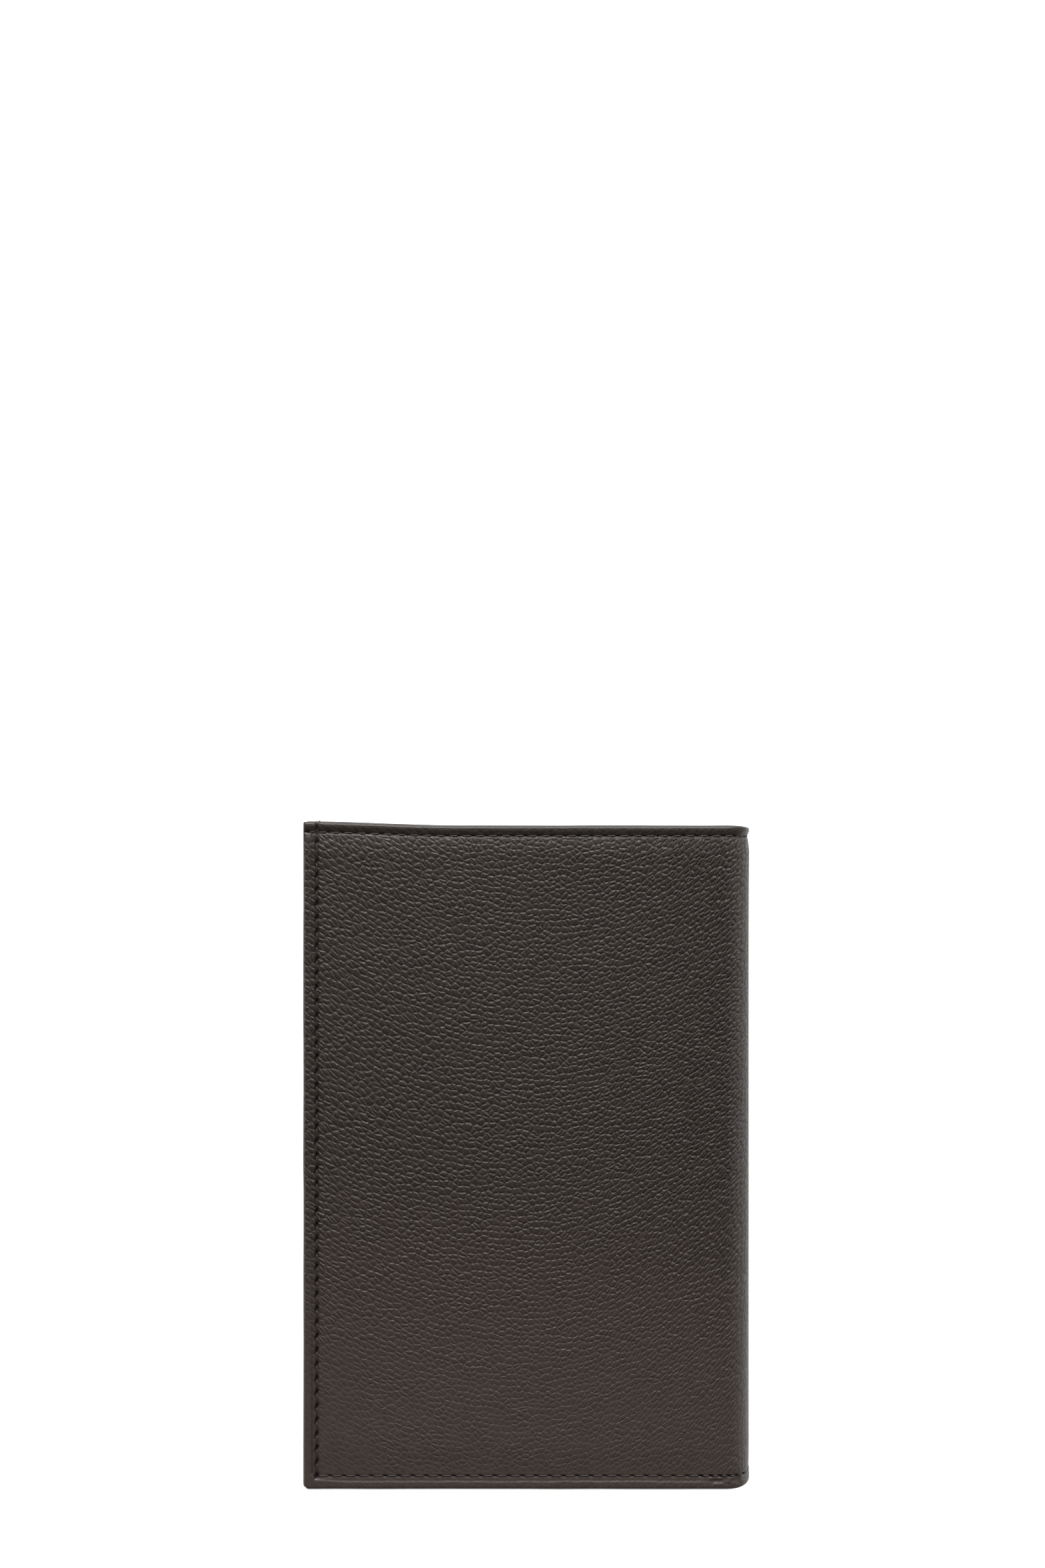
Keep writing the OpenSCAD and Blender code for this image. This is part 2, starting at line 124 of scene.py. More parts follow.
# A rolled edge shows at half its thickness, and the spine's side where the fold ends.
rolled, spine_side = EDGE / 2 * MM, FOLD_R * MM
left_px, right_px = POINTS["left_edge"][0] - W / 2, POINTS["right_edge"][0] - W / 2
top_px, bottom_px = H / 2 - POINTS["top_edge"][1], H / 2 - POINTS["bottom_edge"][1]
by_width = (ZOOM * WIDTH * MM - right_px * spine_side + left_px * rolled) / (right_px - left_px)
by_height = ZOOM * HEIGHT * MM / (top_px - bottom_px) - rolled
distance = (by_width + by_height) / 2
camera_data = bpy.data.cameras.new("camera")
camera_data.lens = LENS
camera_data.sensor_width = SENSOR
camera_data.sensor_fit = "AUTO"
camera = bpy.data.objects.new("camera", camera_data)
bpy.context.scene.collection.objects.link(camera)
bpy.context.scene.camera = camera
camera.location = (
    -(left_px * (distance + rolled) + right_px * (distance + spine_side)) / 2 / ZOOM,
    -(top_px + bottom_px) / 2 * (distance + rolled) / ZOOM,
    back_face + distance,
)
bpy.context.view_layer.update()
print(f"camera {distance:.3f} m above the back cover; by width {by_width:.3f}, "
      f"by height {by_height:.3f}")


# %% Placing by an image point
def place_on(carrier, name):
    """Where a named point lies on a carrier, a BVHTree. A miss takes the nearest place."""
    x, y = POINTS[name]
    origin = camera.matrix_world.translation
    through = camera.matrix_world.to_3x3() @ Vector((x - W / 2, H / 2 - y, -ZOOM))
    direction = through.normalized()
    hit = carrier.ray_cast(origin, direction)[0]
    if hit is None:
        nearest = [carrier.find_nearest(origin + direction * distance * step)
                   for step in np.linspace(0.9, 1.1, 400)]
        hit = min(nearest, key=lambda found: found[3])[0]
    return hit


def tree_of(piece):
    """A BVHTree of a finished mesh, in the row frame."""
    places = [piece.matrix_world @ v.co for v in piece.data.vertices]
    return BVHTree.FromPolygons(places, [list(p.vertices) for p in piece.data.polygons])


packed_cover = tree_of(nodes["back_shell_leather"])
SIDE_ROW, SIDE_CREASE = [place_on(packed_cover, name).x / MM - FREE_X
                         for name in ("side_row", "side_crease")]
TOP_ROW, BOTTOM_ROW, BOTTOM_RIDGE = [place_on(packed_cover, name).y / MM - BOTTOM_Y
                                     for name in ("top_row", "bottom_row", "bottom_ridge")]
print(f"rows: side {SIDE_ROW:.2f}, top {HEIGHT - TOP_ROW:.2f}, bottom {BOTTOM_ROW:.2f} mm in")

# %% [markdown]
# ## Small tools
# `linear` turns the hex colours that a picture editor shows into the linear numbers that light
# works with. `add` puts one node into a material, and the five after it are how every
# material here begins, reckons and ends. `smooth`, `fall`, `bell` and `rumple` are the curves
# that soft shapes are made of. `make_piece` makes a mesh from arrays, welds what lies at one
# place, and stores numbers on its vertices, so that a pattern stays on the leather when the
# holder opens.


# %% Colour, node and mesh helpers
def linear(hex_colour):
    """An sRGB hex colour as linear red, green, blue and alpha."""
    channels = [int(hex_colour[i:i + 2], 16) / 255 for i in (1, 3, 5)]
    return [c / 12.92 if c <= 0.04045 else ((c + 0.055) / 1.055) ** 2.4 for c in channels] + [1]


def add(tree, kind, settings=None, **inputs):
    """Adds a node: settings are its own, inputs are its sockets by name or number. An input is
    a value, an output of another node, or another node, which stands for its first output."""
    node = tree.nodes.new("ShaderNode" + kind)
    for key, value in (settings or {}).items():
        setattr(node, key, value)
    for key, value in inputs.items():
        socket = node.inputs[int(key[1:]) if key[1:].isdigit() else key.replace("_", " ")]
        if isinstance(value, bpy.types.Node):
            value = value.outputs[0]
        if isinstance(value, bpy.types.NodeSocket):
            tree.links.new(value, socket)
        else:
            socket.default_value = value
    return node


def new_material(name):
    """An empty material and its node tree."""
    material = bpy.data.materials.new(name)
    material.use_nodes = True
    material.node_tree.nodes.clear()
    return material, material.node_tree


def reckon(tree, operation, *values, kind="Math"):
    """One step of arithmetic in a material."""
    numbered = {f"_{i}": value for i, value in enumerate(values)}
    return add(tree, kind, {"operation": operation}, **numbered)


def span(tree, value, low, high, to_low=0.0, to_high=1.0, way="LINEAR"):
    """Brings a number from one span to another."""
    return add(tree, "MapRange", {"interpolation_type": way},
               _0=value, _1=low, _2=high, _3=to_low, _4=to_high)


def between(tree, share, one, other):
    """A colour between two, by a share from 0 to 1."""
    return add(tree, "Mix", {"data_type": "RGBA"}, _0=share, _6=one, _7=other).outputs[2]


def surface(tree, **inputs):
    """Ends a material with one Principled surface."""
    add(tree, "OutputMaterial", Surface=add(tree, "BsdfPrincipled", **inputs))


def smooth(t):
    """A ramp from 0 to 1 with soft ends."""
    t = np.clip(t, 0, 1)
    return t * t * (3 - 2 * t)


def fall(t):
    """The same ramp downwards, from 1 to 0."""
    return 1 - smooth(t)


def bell(away, half_width):
    """1 on a line and nearly 0 at two half widths beside it."""
    return np.exp(-(away / half_width) ** 2)


def rumple(x, y, cell, seed):
    """Smooth random heights from -1 to 1 over a plane, with bumps about a cell wide. They
    come from a table of n by n cells that repeats."""
    n = 64
    table = np.random.default_rng(seed).uniform(-1, 1, (n, n))
    gx, gy = x / cell, y / cell
    ix, iy = np.floor(gx).astype(int), np.floor(gy).astype(int)
    fx, fy = smooth(gx - ix), smooth(gy - iy)
    low, high = [table[ix % n, row % n] * (1 - fx) + table[(ix + 1) % n, row % n] * fx
                 for row in (iy, iy + 1)]
    return low * (1 - fy) + high * fy


def round_corner(along, up, centre_along, centre_up, outward_up):
    """Flat places with a square corner made round about a centre; outward_up is -1 or 1."""
    da, du = along - centre_along, up - centre_up
    within = (da < 0) & (np.sign(du) == outward_up)
    long, short = np.maximum(abs(da), abs(du)), np.hypot(da, du)
    scale = np.where(within & (short > 0), long / np.maximum(short, 1e-9), 1)
    return centre_along + da * scale, centre_up + du * scale


def quads(grid):
    """The faces of a grid of vertex numbers."""
    return np.stack([grid[:-1, :-1], grid[1:, :-1], grid[1:, 1:], grid[:-1, 1:]], -1).reshape(-1, 4)


# Vertices nearer than this many metres are one.
WELD = 2e-6


def make_piece(name, places, faces, material, sharp=50, **attributes):
    """A welded mesh object from places in metres. Each attribute is one value a vertex."""
    whole = np.round(places / WELD).astype(np.int64)
    kept, number = np.unique(whole, axis=0, return_index=True, return_inverse=True)[1:]
    number = number.ravel()
    clean = []
    for face in faces:
        ring = [int(number[i]) for i in face]
        ring = [v for i, v in enumerate(ring) if v != ring[i - 1]]
        if len(set(ring)) > 2:
            clean.append(ring)
    mesh = bpy.data.meshes.new(name)
    mesh.from_pydata(places[kept].tolist(), [], clean)
    mesh.validate()
    for key, values in attributes.items():
        values = np.asarray(values, np.float32)[kept]
        kind, field = ("FLOAT_VECTOR", "vector") if values.ndim == 2 else ("FLOAT", "value")
        mesh.attributes.new(key, kind, "POINT").data.foreach_set(field, values.ravel())
    mesh.shade_smooth()
    mesh.set_sharp_from_angle(angle=math.radians(sharp))
    mesh.materials.append(material)
    piece = bpy.data.objects.new(name, mesh)
    bpy.context.scene.collection.objects.link(piece)
    return piece


# %% [markdown]
# ## Folding the flat leather
# At each side of the spine the leather turns through a quarter circle. Three small things on
# the real holder aren't square: the top edge rises towards the free corner, the bottom edge is
# drawn up at the spine, because the leather has to travel round the fold there, and the top
# edge is drawn down a little at the same place. All three are moves of the flat place, so all
# layers follow them alike.

# %% From a flat place to the closed holder
# How far the top edge rises in the corner, and how far along and down that reaches.
RISE, RISE_ALONG, RISE_DOWN = 0.9, 34, 9
# How far the bottom edge is drawn up round the fold and on along the spine, and the top down.
UP_BY_FOLD, UP_BY_SPINE, DOWN_BY_FOLD = 1.8, 0.9, 0.4
# How far up and how far down from the edges those two reach.
UP_REACH, DOWN_REACH = 9, 3


def round_fold(along):
    """How far round the fold a flat place is, from 0 to 1."""
    return np.clip((along - FOLD_ALONG) / ARC, 0, 1)


def drawn_up(along):
    """How far the bottom edge is drawn up: 1.8 mm where the spine begins, 2.25 in its middle."""
    past = np.clip((along - FOLD_ALONG - ARC) / SPINE_HALF, 0, 1)
    return UP_BY_FOLD * round_fold(along) ** 2.1 + UP_BY_SPINE * (past - past * past / 2)


def fold_up(along, up, depth, cover):
    """Places in metres of flat places in millimetres, on the front or the back half."""
    along, up, depth = [np.asarray(v, float) for v in np.broadcast_arrays(along, up, depth)]
    up = up + RISE * fall(along / RISE_ALONG) * fall((HEIGHT - up - 1) / RISE_DOWN)
    up = up + drawn_up(along) * fall(up / UP_REACH)
    up = up - DOWN_BY_FOLD * round_fold(along) ** 2.5 * fall((HEIGHT - up) / DOWN_REACH)
    turn = np.clip((along - FOLD_ALONG) / FOLD_R, 0, math.pi / 2)
    past = np.maximum(along - FOLD_ALONG - ARC, 0)
    x = FREE_X + np.minimum(along, FOLD_ALONG) + (FOLD_R - depth) * np.sin(turn)
    z = FOLD_R - (FOLD_R - depth) * np.cos(turn) + past
    if cover == "back":
        z = THICK - z
    return np.stack([x, BOTTOM_Y + up, z], -1) * MM


def bend_with_fold(piece, cover):
    """Bakes a piece's place into its mesh; the front and the back cover are treated alike."""
    if cover == "front":
        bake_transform(piece)
    else:
        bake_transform(piece)


print(f"spine's bottom edge is drawn up {drawn_up(np.array([MIDDLE]))[0]:.2f} mm")

# %% [markdown]
# ## Outer leather
# The shell is cowhide about 0.8 mm thick, drum-dyed through in dark brown and given a pebbled
# A photographed texture isn't allowed here and would repeat, so the domes come from a cell pattern
# measured in millimetres. Each vertex carries what the pattern reads: `flat_mm` is its flat place,
# `lie` the same place with the grain's own lie taken out, `grain` how strong the pebbles are,
# `pit` how dark a needle hole or the side crease is painted as shade and how dark the rolled edge
# is, partly burnish and partly painted shade, and `stain` how far painted shade darkens each
# pebble, most on its lower side, away from the lamp. Dyed leather has an IOR of about 1.5 and a
# roughness of about 0.5.


# %% Grained cowhide
def grained_cowhide(name, dark, light, dome_mm, dome_height):
    """Leather with domes of a size and a height in millimetres, dyed between two browns."""
    material, tree = new_material(name)
    lie, flat = [add(tree, "Attribute", {"attribute_name": key}).outputs["Vector"]
                 for key in ("lie", "flat_mm")]
    grain, pit, stain = [add(tree, "Attribute", {"attribute_name": key}).outputs["Fac"]
                         for key in ("grain", "pit", "stain")]

    # The cells are pushed about by up to 0.35 mm, so that no two domes are alike.
    push = add(tree, "TexNoise", Vector=lie, Scale=0.55, Detail=2.0, Roughness=0.6)
    centred = reckon(tree, "SUBTRACT", push.outputs["Color"], (0.5,) * 3, kind="VectorMath")
    pushed = reckon(tree, "MULTIPLY_ADD", centred, (0.7,) * 3, lie, kind="VectorMath")
    # The domes, their middles, and finer creases that cross them, at 0.45 of their size.
    domes, cells, small = [
        add(tree, "TexVoronoi", {"feature": feature, "voronoi_dimensions": "2D"},
            Vector=pushed, Scale=finer / dome_mm, Randomness=uneven)
        for feature, finer, uneven in (
            ("DISTANCE_TO_EDGE", 1, 0.85), ("F1", 1, 0.85), ("DISTANCE_TO_EDGE", 2.2, 1.0))]
    dome = span(tree, domes, 0.0, 0.3, way="SMOOTHSTEP")
    crease = span(tree, small, 0.0, 0.16, way="SMOOTHSTEP")
    # Each dome leans like a scale: highest at its upper rim, where it drops into the crease.
    from_middle = reckon(tree, "SUBTRACT", pushed, cells.outputs["Position"], kind="VectorMath")
    upward = add(tree, "SeparateXYZ", _0=from_middle).outputs["Y"]
    lean = reckon(tree, "MULTIPLY_ADD", upward, 0.8 / dome_mm, 1.0)
    height = reckon(tree, "MULTIPLY_ADD", crease, 0.3, reckon(tree, "MULTIPLY", dome, lean))
    # The grain is stronger in some places of a hide than in others.
    places = add(tree, "TexNoise", Vector=lie, Scale=0.28, Detail=3.0, Roughness=0.55)
    shown = reckon(tree, "MULTIPLY", span(tree, places, 0.3, 0.7, 0.55, 1.25), grain)
    raised = reckon(tree, "MULTIPLY", height, shown)
    # Hair pores and wrinkles of about 0.2 mm, drawn at 0.4 mm: the real ones are under a pixel.
    pores = add(tree, "TexNoise", Vector=flat, Scale=2.6, Detail=3.0, Roughness=0.6)
    fine = reckon(tree, "MULTIPLY_ADD", pores, 0.10, raised)
    bump = add(tree, "Bump", Strength=1.0, Distance=dome_height * MM, Filter_Width=0.6,
               Height=fine)

    # Two browns in slow patches. Then painted shade: each pebble is darkened, most on its lower
    # side, which is turned away from the lamp.
    patches = add(tree, "TexNoise", Vector=flat, Scale=0.35, Detail=4.0, Roughness=0.6)
    mottled = between(tree, patches, linear(dark), linear(light))
    shade_share = reckon(tree, "MULTIPLY", span(tree, lean, 0.6, 1.2, 0.96, 0.50), stain)
    pebble_shaded = between(tree, shade_share, mottled, linear("#0e0b0a"))
    # Painted shade: a needle hole and the side crease are painted dark, and the rolled edge darker,
    # partly burnish and partly painted shade.
    with_hole_shade = between(tree, pit, pebble_shaded, linear("#030202"))
    # The tops of the domes are rubbed a little glossier, and a hole is quite dull.
    dull = reckon(tree, "MAXIMUM", span(tree, dome, 0.0, 1.0, 0.55, 0.42), pit)
    surface(tree, Base_Color=with_hole_shade, Roughness=dull, IOR=1.5, Normal=bump)
    print(name, "has", len(tree.nodes), "nodes")
    return material


shell_leather = grained_cowhide("shell_pebbled_cowhide", "#433933", "#544942", 1.0, 0.155)

# %% [markdown]
# ## The shell's relief
# A stiff board lies under the leather, so the cover is flat, but it isn't dead flat. Each seam
# pulls the leather down in a narrow valley, the panel swells up from it again, and the rolled strip
# outside it stands proud. The needle makes a slanted slit every 3 mm. This could be painted as a
# bump alone; here it moves the mesh, so that edges, side views and the mesh itself have it too.

# %% Where the needle went
# The bottom row's pitch, the side row's, and how far up the side row's last, longer step ends.
PITCH, SIDE_PITCH, SIDE_LAST = 3.0, 3.05, 138.0
SIDE_HOLES = BOTTOM_ROW + np.append(SIDE_PITCH * np.arange(45), SIDE_LAST)
BOTTOM_HOLES = SIDE_ROW + PITCH * np.arange(29)
# Round the fold the stitches are gathered, so their holes are only about 2 mm apart.
GATHERED = np.array([2.2, 4.2, 6.1, 7.9, 9.8, 12.1, 14.2, MIDDLE - BOTTOM_HOLES[-1]])
BOTTOM_HOLES = np.append(BOTTOM_HOLES, BOTTOM_HOLES[-1] + GATHERED)
TOP_HOLES = np.append([0.9, SIDE_ROW], np.linspace(SIDE_ROW + 2.62, MIDDLE, 35))
# Each row's slits: their slant, half their length and half their width. Then their depths.
SIDE_SLIT, BOTTOM_SLIT, TOP_SLIT = (0.5, 0.56, 0.27), (-0.2, 0.60, 0.19), (-0.1, 0.5, 0.16)
SLIT_DEPTHS = (0.40, 0.22, 0.22)


def from_nearest(holes, x):
    """How far each x lies beyond the nearest of a row of holes."""
    after = np.clip(np.searchsorted(holes, x), 1, len(holes) - 1)
    before = holes[after - 1]
    return np.where(x - before < holes[after] - x, x - before, x - holes[after])


def slit(run, across, slant, half_length, half_width):
    """A slanted slit's depth from 0 to 1, at places run along its row and across it."""
    aside = (across - slant * run) / half_width
    return np.exp(-aside ** 2 - (np.abs(run) / half_length) ** 3)


def needle_holes(along, up, at_side=1.0, at_bottom=1.0, at_top=1.0):
    """How much of a needle hole is at each flat place, up to the number given for its row."""
    side = slit(from_nearest(SIDE_HOLES, up), along - SIDE_ROW, *SIDE_SLIT)
    bottom = slit(from_nearest(BOTTOM_HOLES, along), up - BOTTOM_ROW, *BOTTOM_SLIT)
    top = slit(from_nearest(TOP_HOLES, along), up - TOP_ROW, *TOP_SLIT)
    corner = np.exp(-(((along - SIDE_ROW) / 0.35) ** 2 + ((up - BOTTOM_ROW) / 0.45) ** 2))
    # The rows begin at the corner hole, and the bottom row's holes open up round the fold.
    side = side * (up > BOTTOM_ROW - 0.8)
    bottom = bottom * (along > SIDE_ROW - 0.8) * (1 + 0.4 * smooth((along - 84) / 4))
    rows = [side * at_side, bottom * at_bottom, top * at_top, corner * at_side]
    return np.max(rows, axis=0)


print(len(SIDE_HOLES), "holes up the side,", len(BOTTOM_HOLES), "to the spine's middle")


# %% Valleys, strips and gathers
# How deep each row's own valley is and half its width. The crease has only a width.
SIDE_VALLEY, TOP_VALLEY, BOTTOM_VALLEY = (0.28, 0.42), (0.12, 0.26), (0.04, 0.34)
CREASE_WIDTH = 0.20
# How far below the top row the panel has swelled up again, and the deepest that leather goes.
SWELL_REACH, DEEPEST = 3.8, 0.72


def valley(away, depth, half_width):
    """How deep a valley is at a distance from its middle line."""
    return depth * bell(away, half_width)


def relief(along, up, cover):
    """How far the leather stands out of its flat face, in millimetres, below 0 in a valley."""
    seed = 11 if cover == "back" else 47
    down = HEIGHT - up
    row_top = HEIGHT - TOP_ROW
    side = along - SIDE_ROW
    # The panel's own bows, about 31 and 9.5 mm long, die out at its edges and at the fold.
    out = 0.10 * rumple(along, up, 31, seed) + 0.035 * rumple(along + 7, up, 9.5, seed + 1)
    inside = smooth((along - 5) / 12) * smooth((up - 5) / 12) * smooth((down - 4) / 12)
    out = out * inside * fall((along - FOLD_ALONG + 2) / 4)
    # The side row's valley, the crease beside it, and the panel's edge. The crease is deeper
    # towards both ends.
    low = smooth((up - BOTTOM_ROW + 0.9) / 0.9)
    out -= valley(side, *SIDE_VALLEY) * low
    clearer = 0.10 + 0.14 * fall((up - 8) / 30) + 0.08 * fall((down - 3) / 25)
    crease = valley(along - SIDE_CREASE, clearer, CREASE_WIDTH)
    out -= crease * smooth((up - 3.0) / 0.8) * smooth((down - row_top) / 0.6)
    out -= 0.12 * np.exp(-np.maximum(side, 0) / 1.6) * (side > -0.2) * low
    # The top row's deeper valley, with the panel swelling up below it and the strip above it.
    top = down - row_top
    below = np.clip(top, 0, SWELL_REACH)
    out -= valley(top, *TOP_VALLEY)
    swelling = 0.50 * (1 - below / SWELL_REACH) ** 1.5 + 0.07 * np.exp(-below / 0.35)
    out -= np.where(top > 0, swelling, 0.17 + 0.30 * fall((-top - 0.1) / 1.3))
    # The bottom row, and the step up to the strip outside it, broken by the needle's pull.
    bottom = up - BOTTOM_ROW
    right_of_side = smooth((along - SIDE_ROW + 0.8) / 0.8)
    out -= valley(bottom, *BOTTOM_VALLEY) * right_of_side
    ridge = up - BOTTOM_RIDGE - 0.10 * rumple(along, 0 * up, 2.3, seed + 2)
    ridge -= 0.35 * fall((along - SIDE_ROW) / 7)
    fades = fall((along - FOLD_ALONG + 5.2) / 2.5)
    out -= 0.17 * smooth((ridge + 0.18) / 0.36) * fall((bottom - 0.3) / 7) * (
        right_of_side * (0.35 + 0.65 * fades))
    # Puckers where the strip is gathered round the bottom of the spine.
    gathered = smooth((along - 86.5) / 3) * fall((along - 96) / 5)
    gathered = gathered * smooth((up - 0.9) / 0.5) * fall((up - 2.3) / 0.7)
    out += 0.22 * gathered * rumple(along, up * 0.8, 0.75, seed + 3)
    out -= needle_holes(along, up, *SLIT_DEPTHS)
    # The spine springs out a little, and most at its ends, where no board holds it.
    springs = 0.12 + 0.28 * np.exp(-np.maximum(down, 0) / 7) + 0.08 * np.exp(-up / 6)
    out += springs * smooth((along - FOLD_ALONG - 1) / 5)
    return np.maximum(out, -DEEPEST)


in_middle = relief(np.array([45.0]), np.array([72.5]), "back")[0]
print(f"the back cover's middle stands {in_middle:.2f} mm out of the flat")

# %% [markdown]
# ## How the grain runs
# On the real cover the pebbles aren't alike everywhere. They are pressed nearly smooth beside
# the bottom seam and on the strips, and they are strongest near the spine, where they look
# long and slanting. Their rows sink from the free edge, run level in the middle and climb to
# the spine. A pattern with one direction would look printed. So each vertex gets its own
# numbers here, and the material only reads them.


# %% The grain's strength, painted shade and lie
def pressed_flat(up):
    """The share of the grain that is left: little beside the bottom seam, most higher up."""
    return 0.42 + 0.43 * smooth((up - 5) / 75)


def grain_strength(along, up):
    """How strong the pebbles are: weak on the strips and near the bottom."""
    down = HEIGHT - up
    corner = 1 - 0.5 * fall((along - 6) / 14) * fall((up - 4) / 38)
    strip = np.minimum(smooth((along - SIDE_ROW + 0.5) / 1.2), smooth((up - BOTTOM_ROW) / 2.5))
    on_side_strip = 0.15 + 0.6 * smooth((up - 20) / 40) * smooth((down - 3) / 2)
    strip = np.maximum(strip, on_side_strip)
    strip = np.minimum(strip, smooth((down - HEIGHT + TOP_ROW) / 0.5))
    near_spine = np.interp(along, [50, 68, 82, 92, 100], [0.0, 0.12, 0.35, 0.6, 0.6])
    near_spine = 1 + near_spine * (0.35 + 0.65 * smooth((up - 8) / 70))
    return (0.12 + 0.88 * strip) * pressed_flat(up) * corner * near_spine


def pebble_shade_strength(up):
    """How far painted shade darkens the pebbles: they are deeper, and so more shaded, higher up."""
    return pressed_flat(up) ** 2


def darkened(along, up, wrapped, holes):
    """How dark the leather is painted: a needle hole black and the side crease darker, both as
    painted shade, and the rolled edge darker, partly burnish and partly painted shade.
    """
    # Painted shade along the side crease.
    in_crease = bell(along - SIDE_CREASE, 0.26) * (up > 3.0) * (up < TOP_ROW)
    in_crease = in_crease * (wrapped == 0) * (
        0.22 + 0.16 * fall((up - 8) / 40) + 0.10 * smooth((up - HEIGHT + 30) / 25))
    # The rolled edge: partly burnish, partly painted shade.
    edge_burnish_and_shade = 0.60 * smooth((wrapped - 0.2) / 0.8)
    return np.clip(np.max([holes * 1.8, in_crease, edge_burnish_and_shade], axis=0), 0, 1)


# Across the holder the grain's rows sink, run level, and climb to the spine. CLIMB is their
# slope and CLOSENESS how many pebbles fill a millimetre, at places ACROSS; both are summed up.
ACROSS, ACROSS_STEP = np.linspace(0, 110, 1101), 0.1
CLIMB = np.interp(ACROSS, [0, 20, 40, 50, 60, 75, 88, 96, 110],
                  [-0.6, -0.4, -0.12, 0.0, 0.28, 0.62, 0.9, 1.2, 1.6])
CLOSENESS = np.interp(ACROSS, [0, 50, 74, 87, 110], [0.60, 0.82, 0.88, 0.86, 0.80])
CLIMBED = np.cumsum(CLIMB) * ACROSS_STEP
PASSED = np.cumsum(CLOSENESS) * ACROSS_STEP
# A pebble's size up the holder, and how far over the pattern lies in the upper half.
PEBBLE_UP, OVER = 1.24, 7


def grain_lie(along, up, cover):
    """The flat place with the grain's own lie taken out, in which all pebbles are alike."""
    over = OVER * smooth((up - 60) / 60)
    climbed = np.interp(along - over, ACROSS, CLIMBED, left=0)
    climbed = climbed + 0.5 * np.clip(over - along, 0, OVER)
    seed = 0.0 if cover == "back" else 300.0
    passed = np.interp(along, ACROSS, PASSED) + np.minimum(along, 0) * CLOSENESS[0]
    return np.stack([passed + seed, (up - climbed) / PEBBLE_UP, np.zeros_like(along)], -1)


# The number printed is the strength of the painted shade on the pebbles.
print(f"dye in the creases: {pebble_shade_strength(5):.2f} at the bottom, {pebble_shade_strength(90):.2f} above")

# %% [markdown]
# ## The shell itself
# The shell is one strip of leather round board and foam. Its edge is pared thin, turned
# round the board and glued down as a 6 mm hem. Here it is drawn in two halves that
# meet at the middle of the spine, because each may bend round one fold only. Each half is a
# fine grid for the outer face, a ring that rolls round the edge and runs under as the hem,
# and a plain inner skin 0.8 mm below.

# %% Two halves of the outer leather
# How far the rolled rim stands out past the face at the side, the bottom and the top.
RIM_SIDE, RIM_BOTTOM, RIM_TOP = 0.7, 0.7, 0.6
# How square the rim's plan is: 2 is round. The top corner is the squarest.
ROUND, BOTTOM_SQUARE, TOP_SQUARE = 2.0, 2.2, 3.6
CORNER_TURNS = 7
# The turns of the rolled edge, and those of the inner skin on its way back.
ROLL, SKIN_ROLL = np.radians(np.linspace(0, 180, 13)[1:]), np.radians([135, 90, 45, 0])
# How far past the face the flat place of each later ring lies: the hem's four, the skin's four.
PAST_ROLL = [6, 9, 10, 13, 14, 15, 16, 17]


def between_stitches(holes, low, high, offsets):
    """Stations close together at each hole of a row, and further apart between holes."""
    found = np.unique(np.round(np.add.outer(holes, offsets).ravel(), 4))
    return found[(found > low) & (found < high)]


def steps(*bounds):
    """Stations along a line: (from, to, step) runs, each evenly filled."""
    out = []
    for start, end, step in bounds:
        count = max(1, round((end - start) / step))
        out += list(np.linspace(start, end, count, endpoint=False))
    return np.array(out + [bounds[-1][1]])


def edge_path(cols, rows):
    """The outline of the face grid, from the spine's middle round the free side and back. Each
    place is a column, a row, the way out along and up, and how square the rim is there."""
    last_col, last_row = len(cols) - 1, len(rows) - 1
    turns = [math.pi / 2 * k / CORNER_TURNS for k in range(CORNER_TURNS + 1)]
    path = [(i, 0, 0.0, -1.0, ROUND) for i in range(last_col, 0, -1)]
    path += [(0, 0, -math.sin(t), -math.cos(t), BOTTOM_SQUARE) for t in turns]
    path += [(0, j, -1.0, 0.0, ROUND) for j in range(1, last_row)]
    path += [(0, last_row, -math.cos(t), math.sin(t), TOP_SQUARE) for t in turns]
    return path + [(i, last_row, 0.0, 1.0, ROUND) for i in range(1, last_col + 1)]


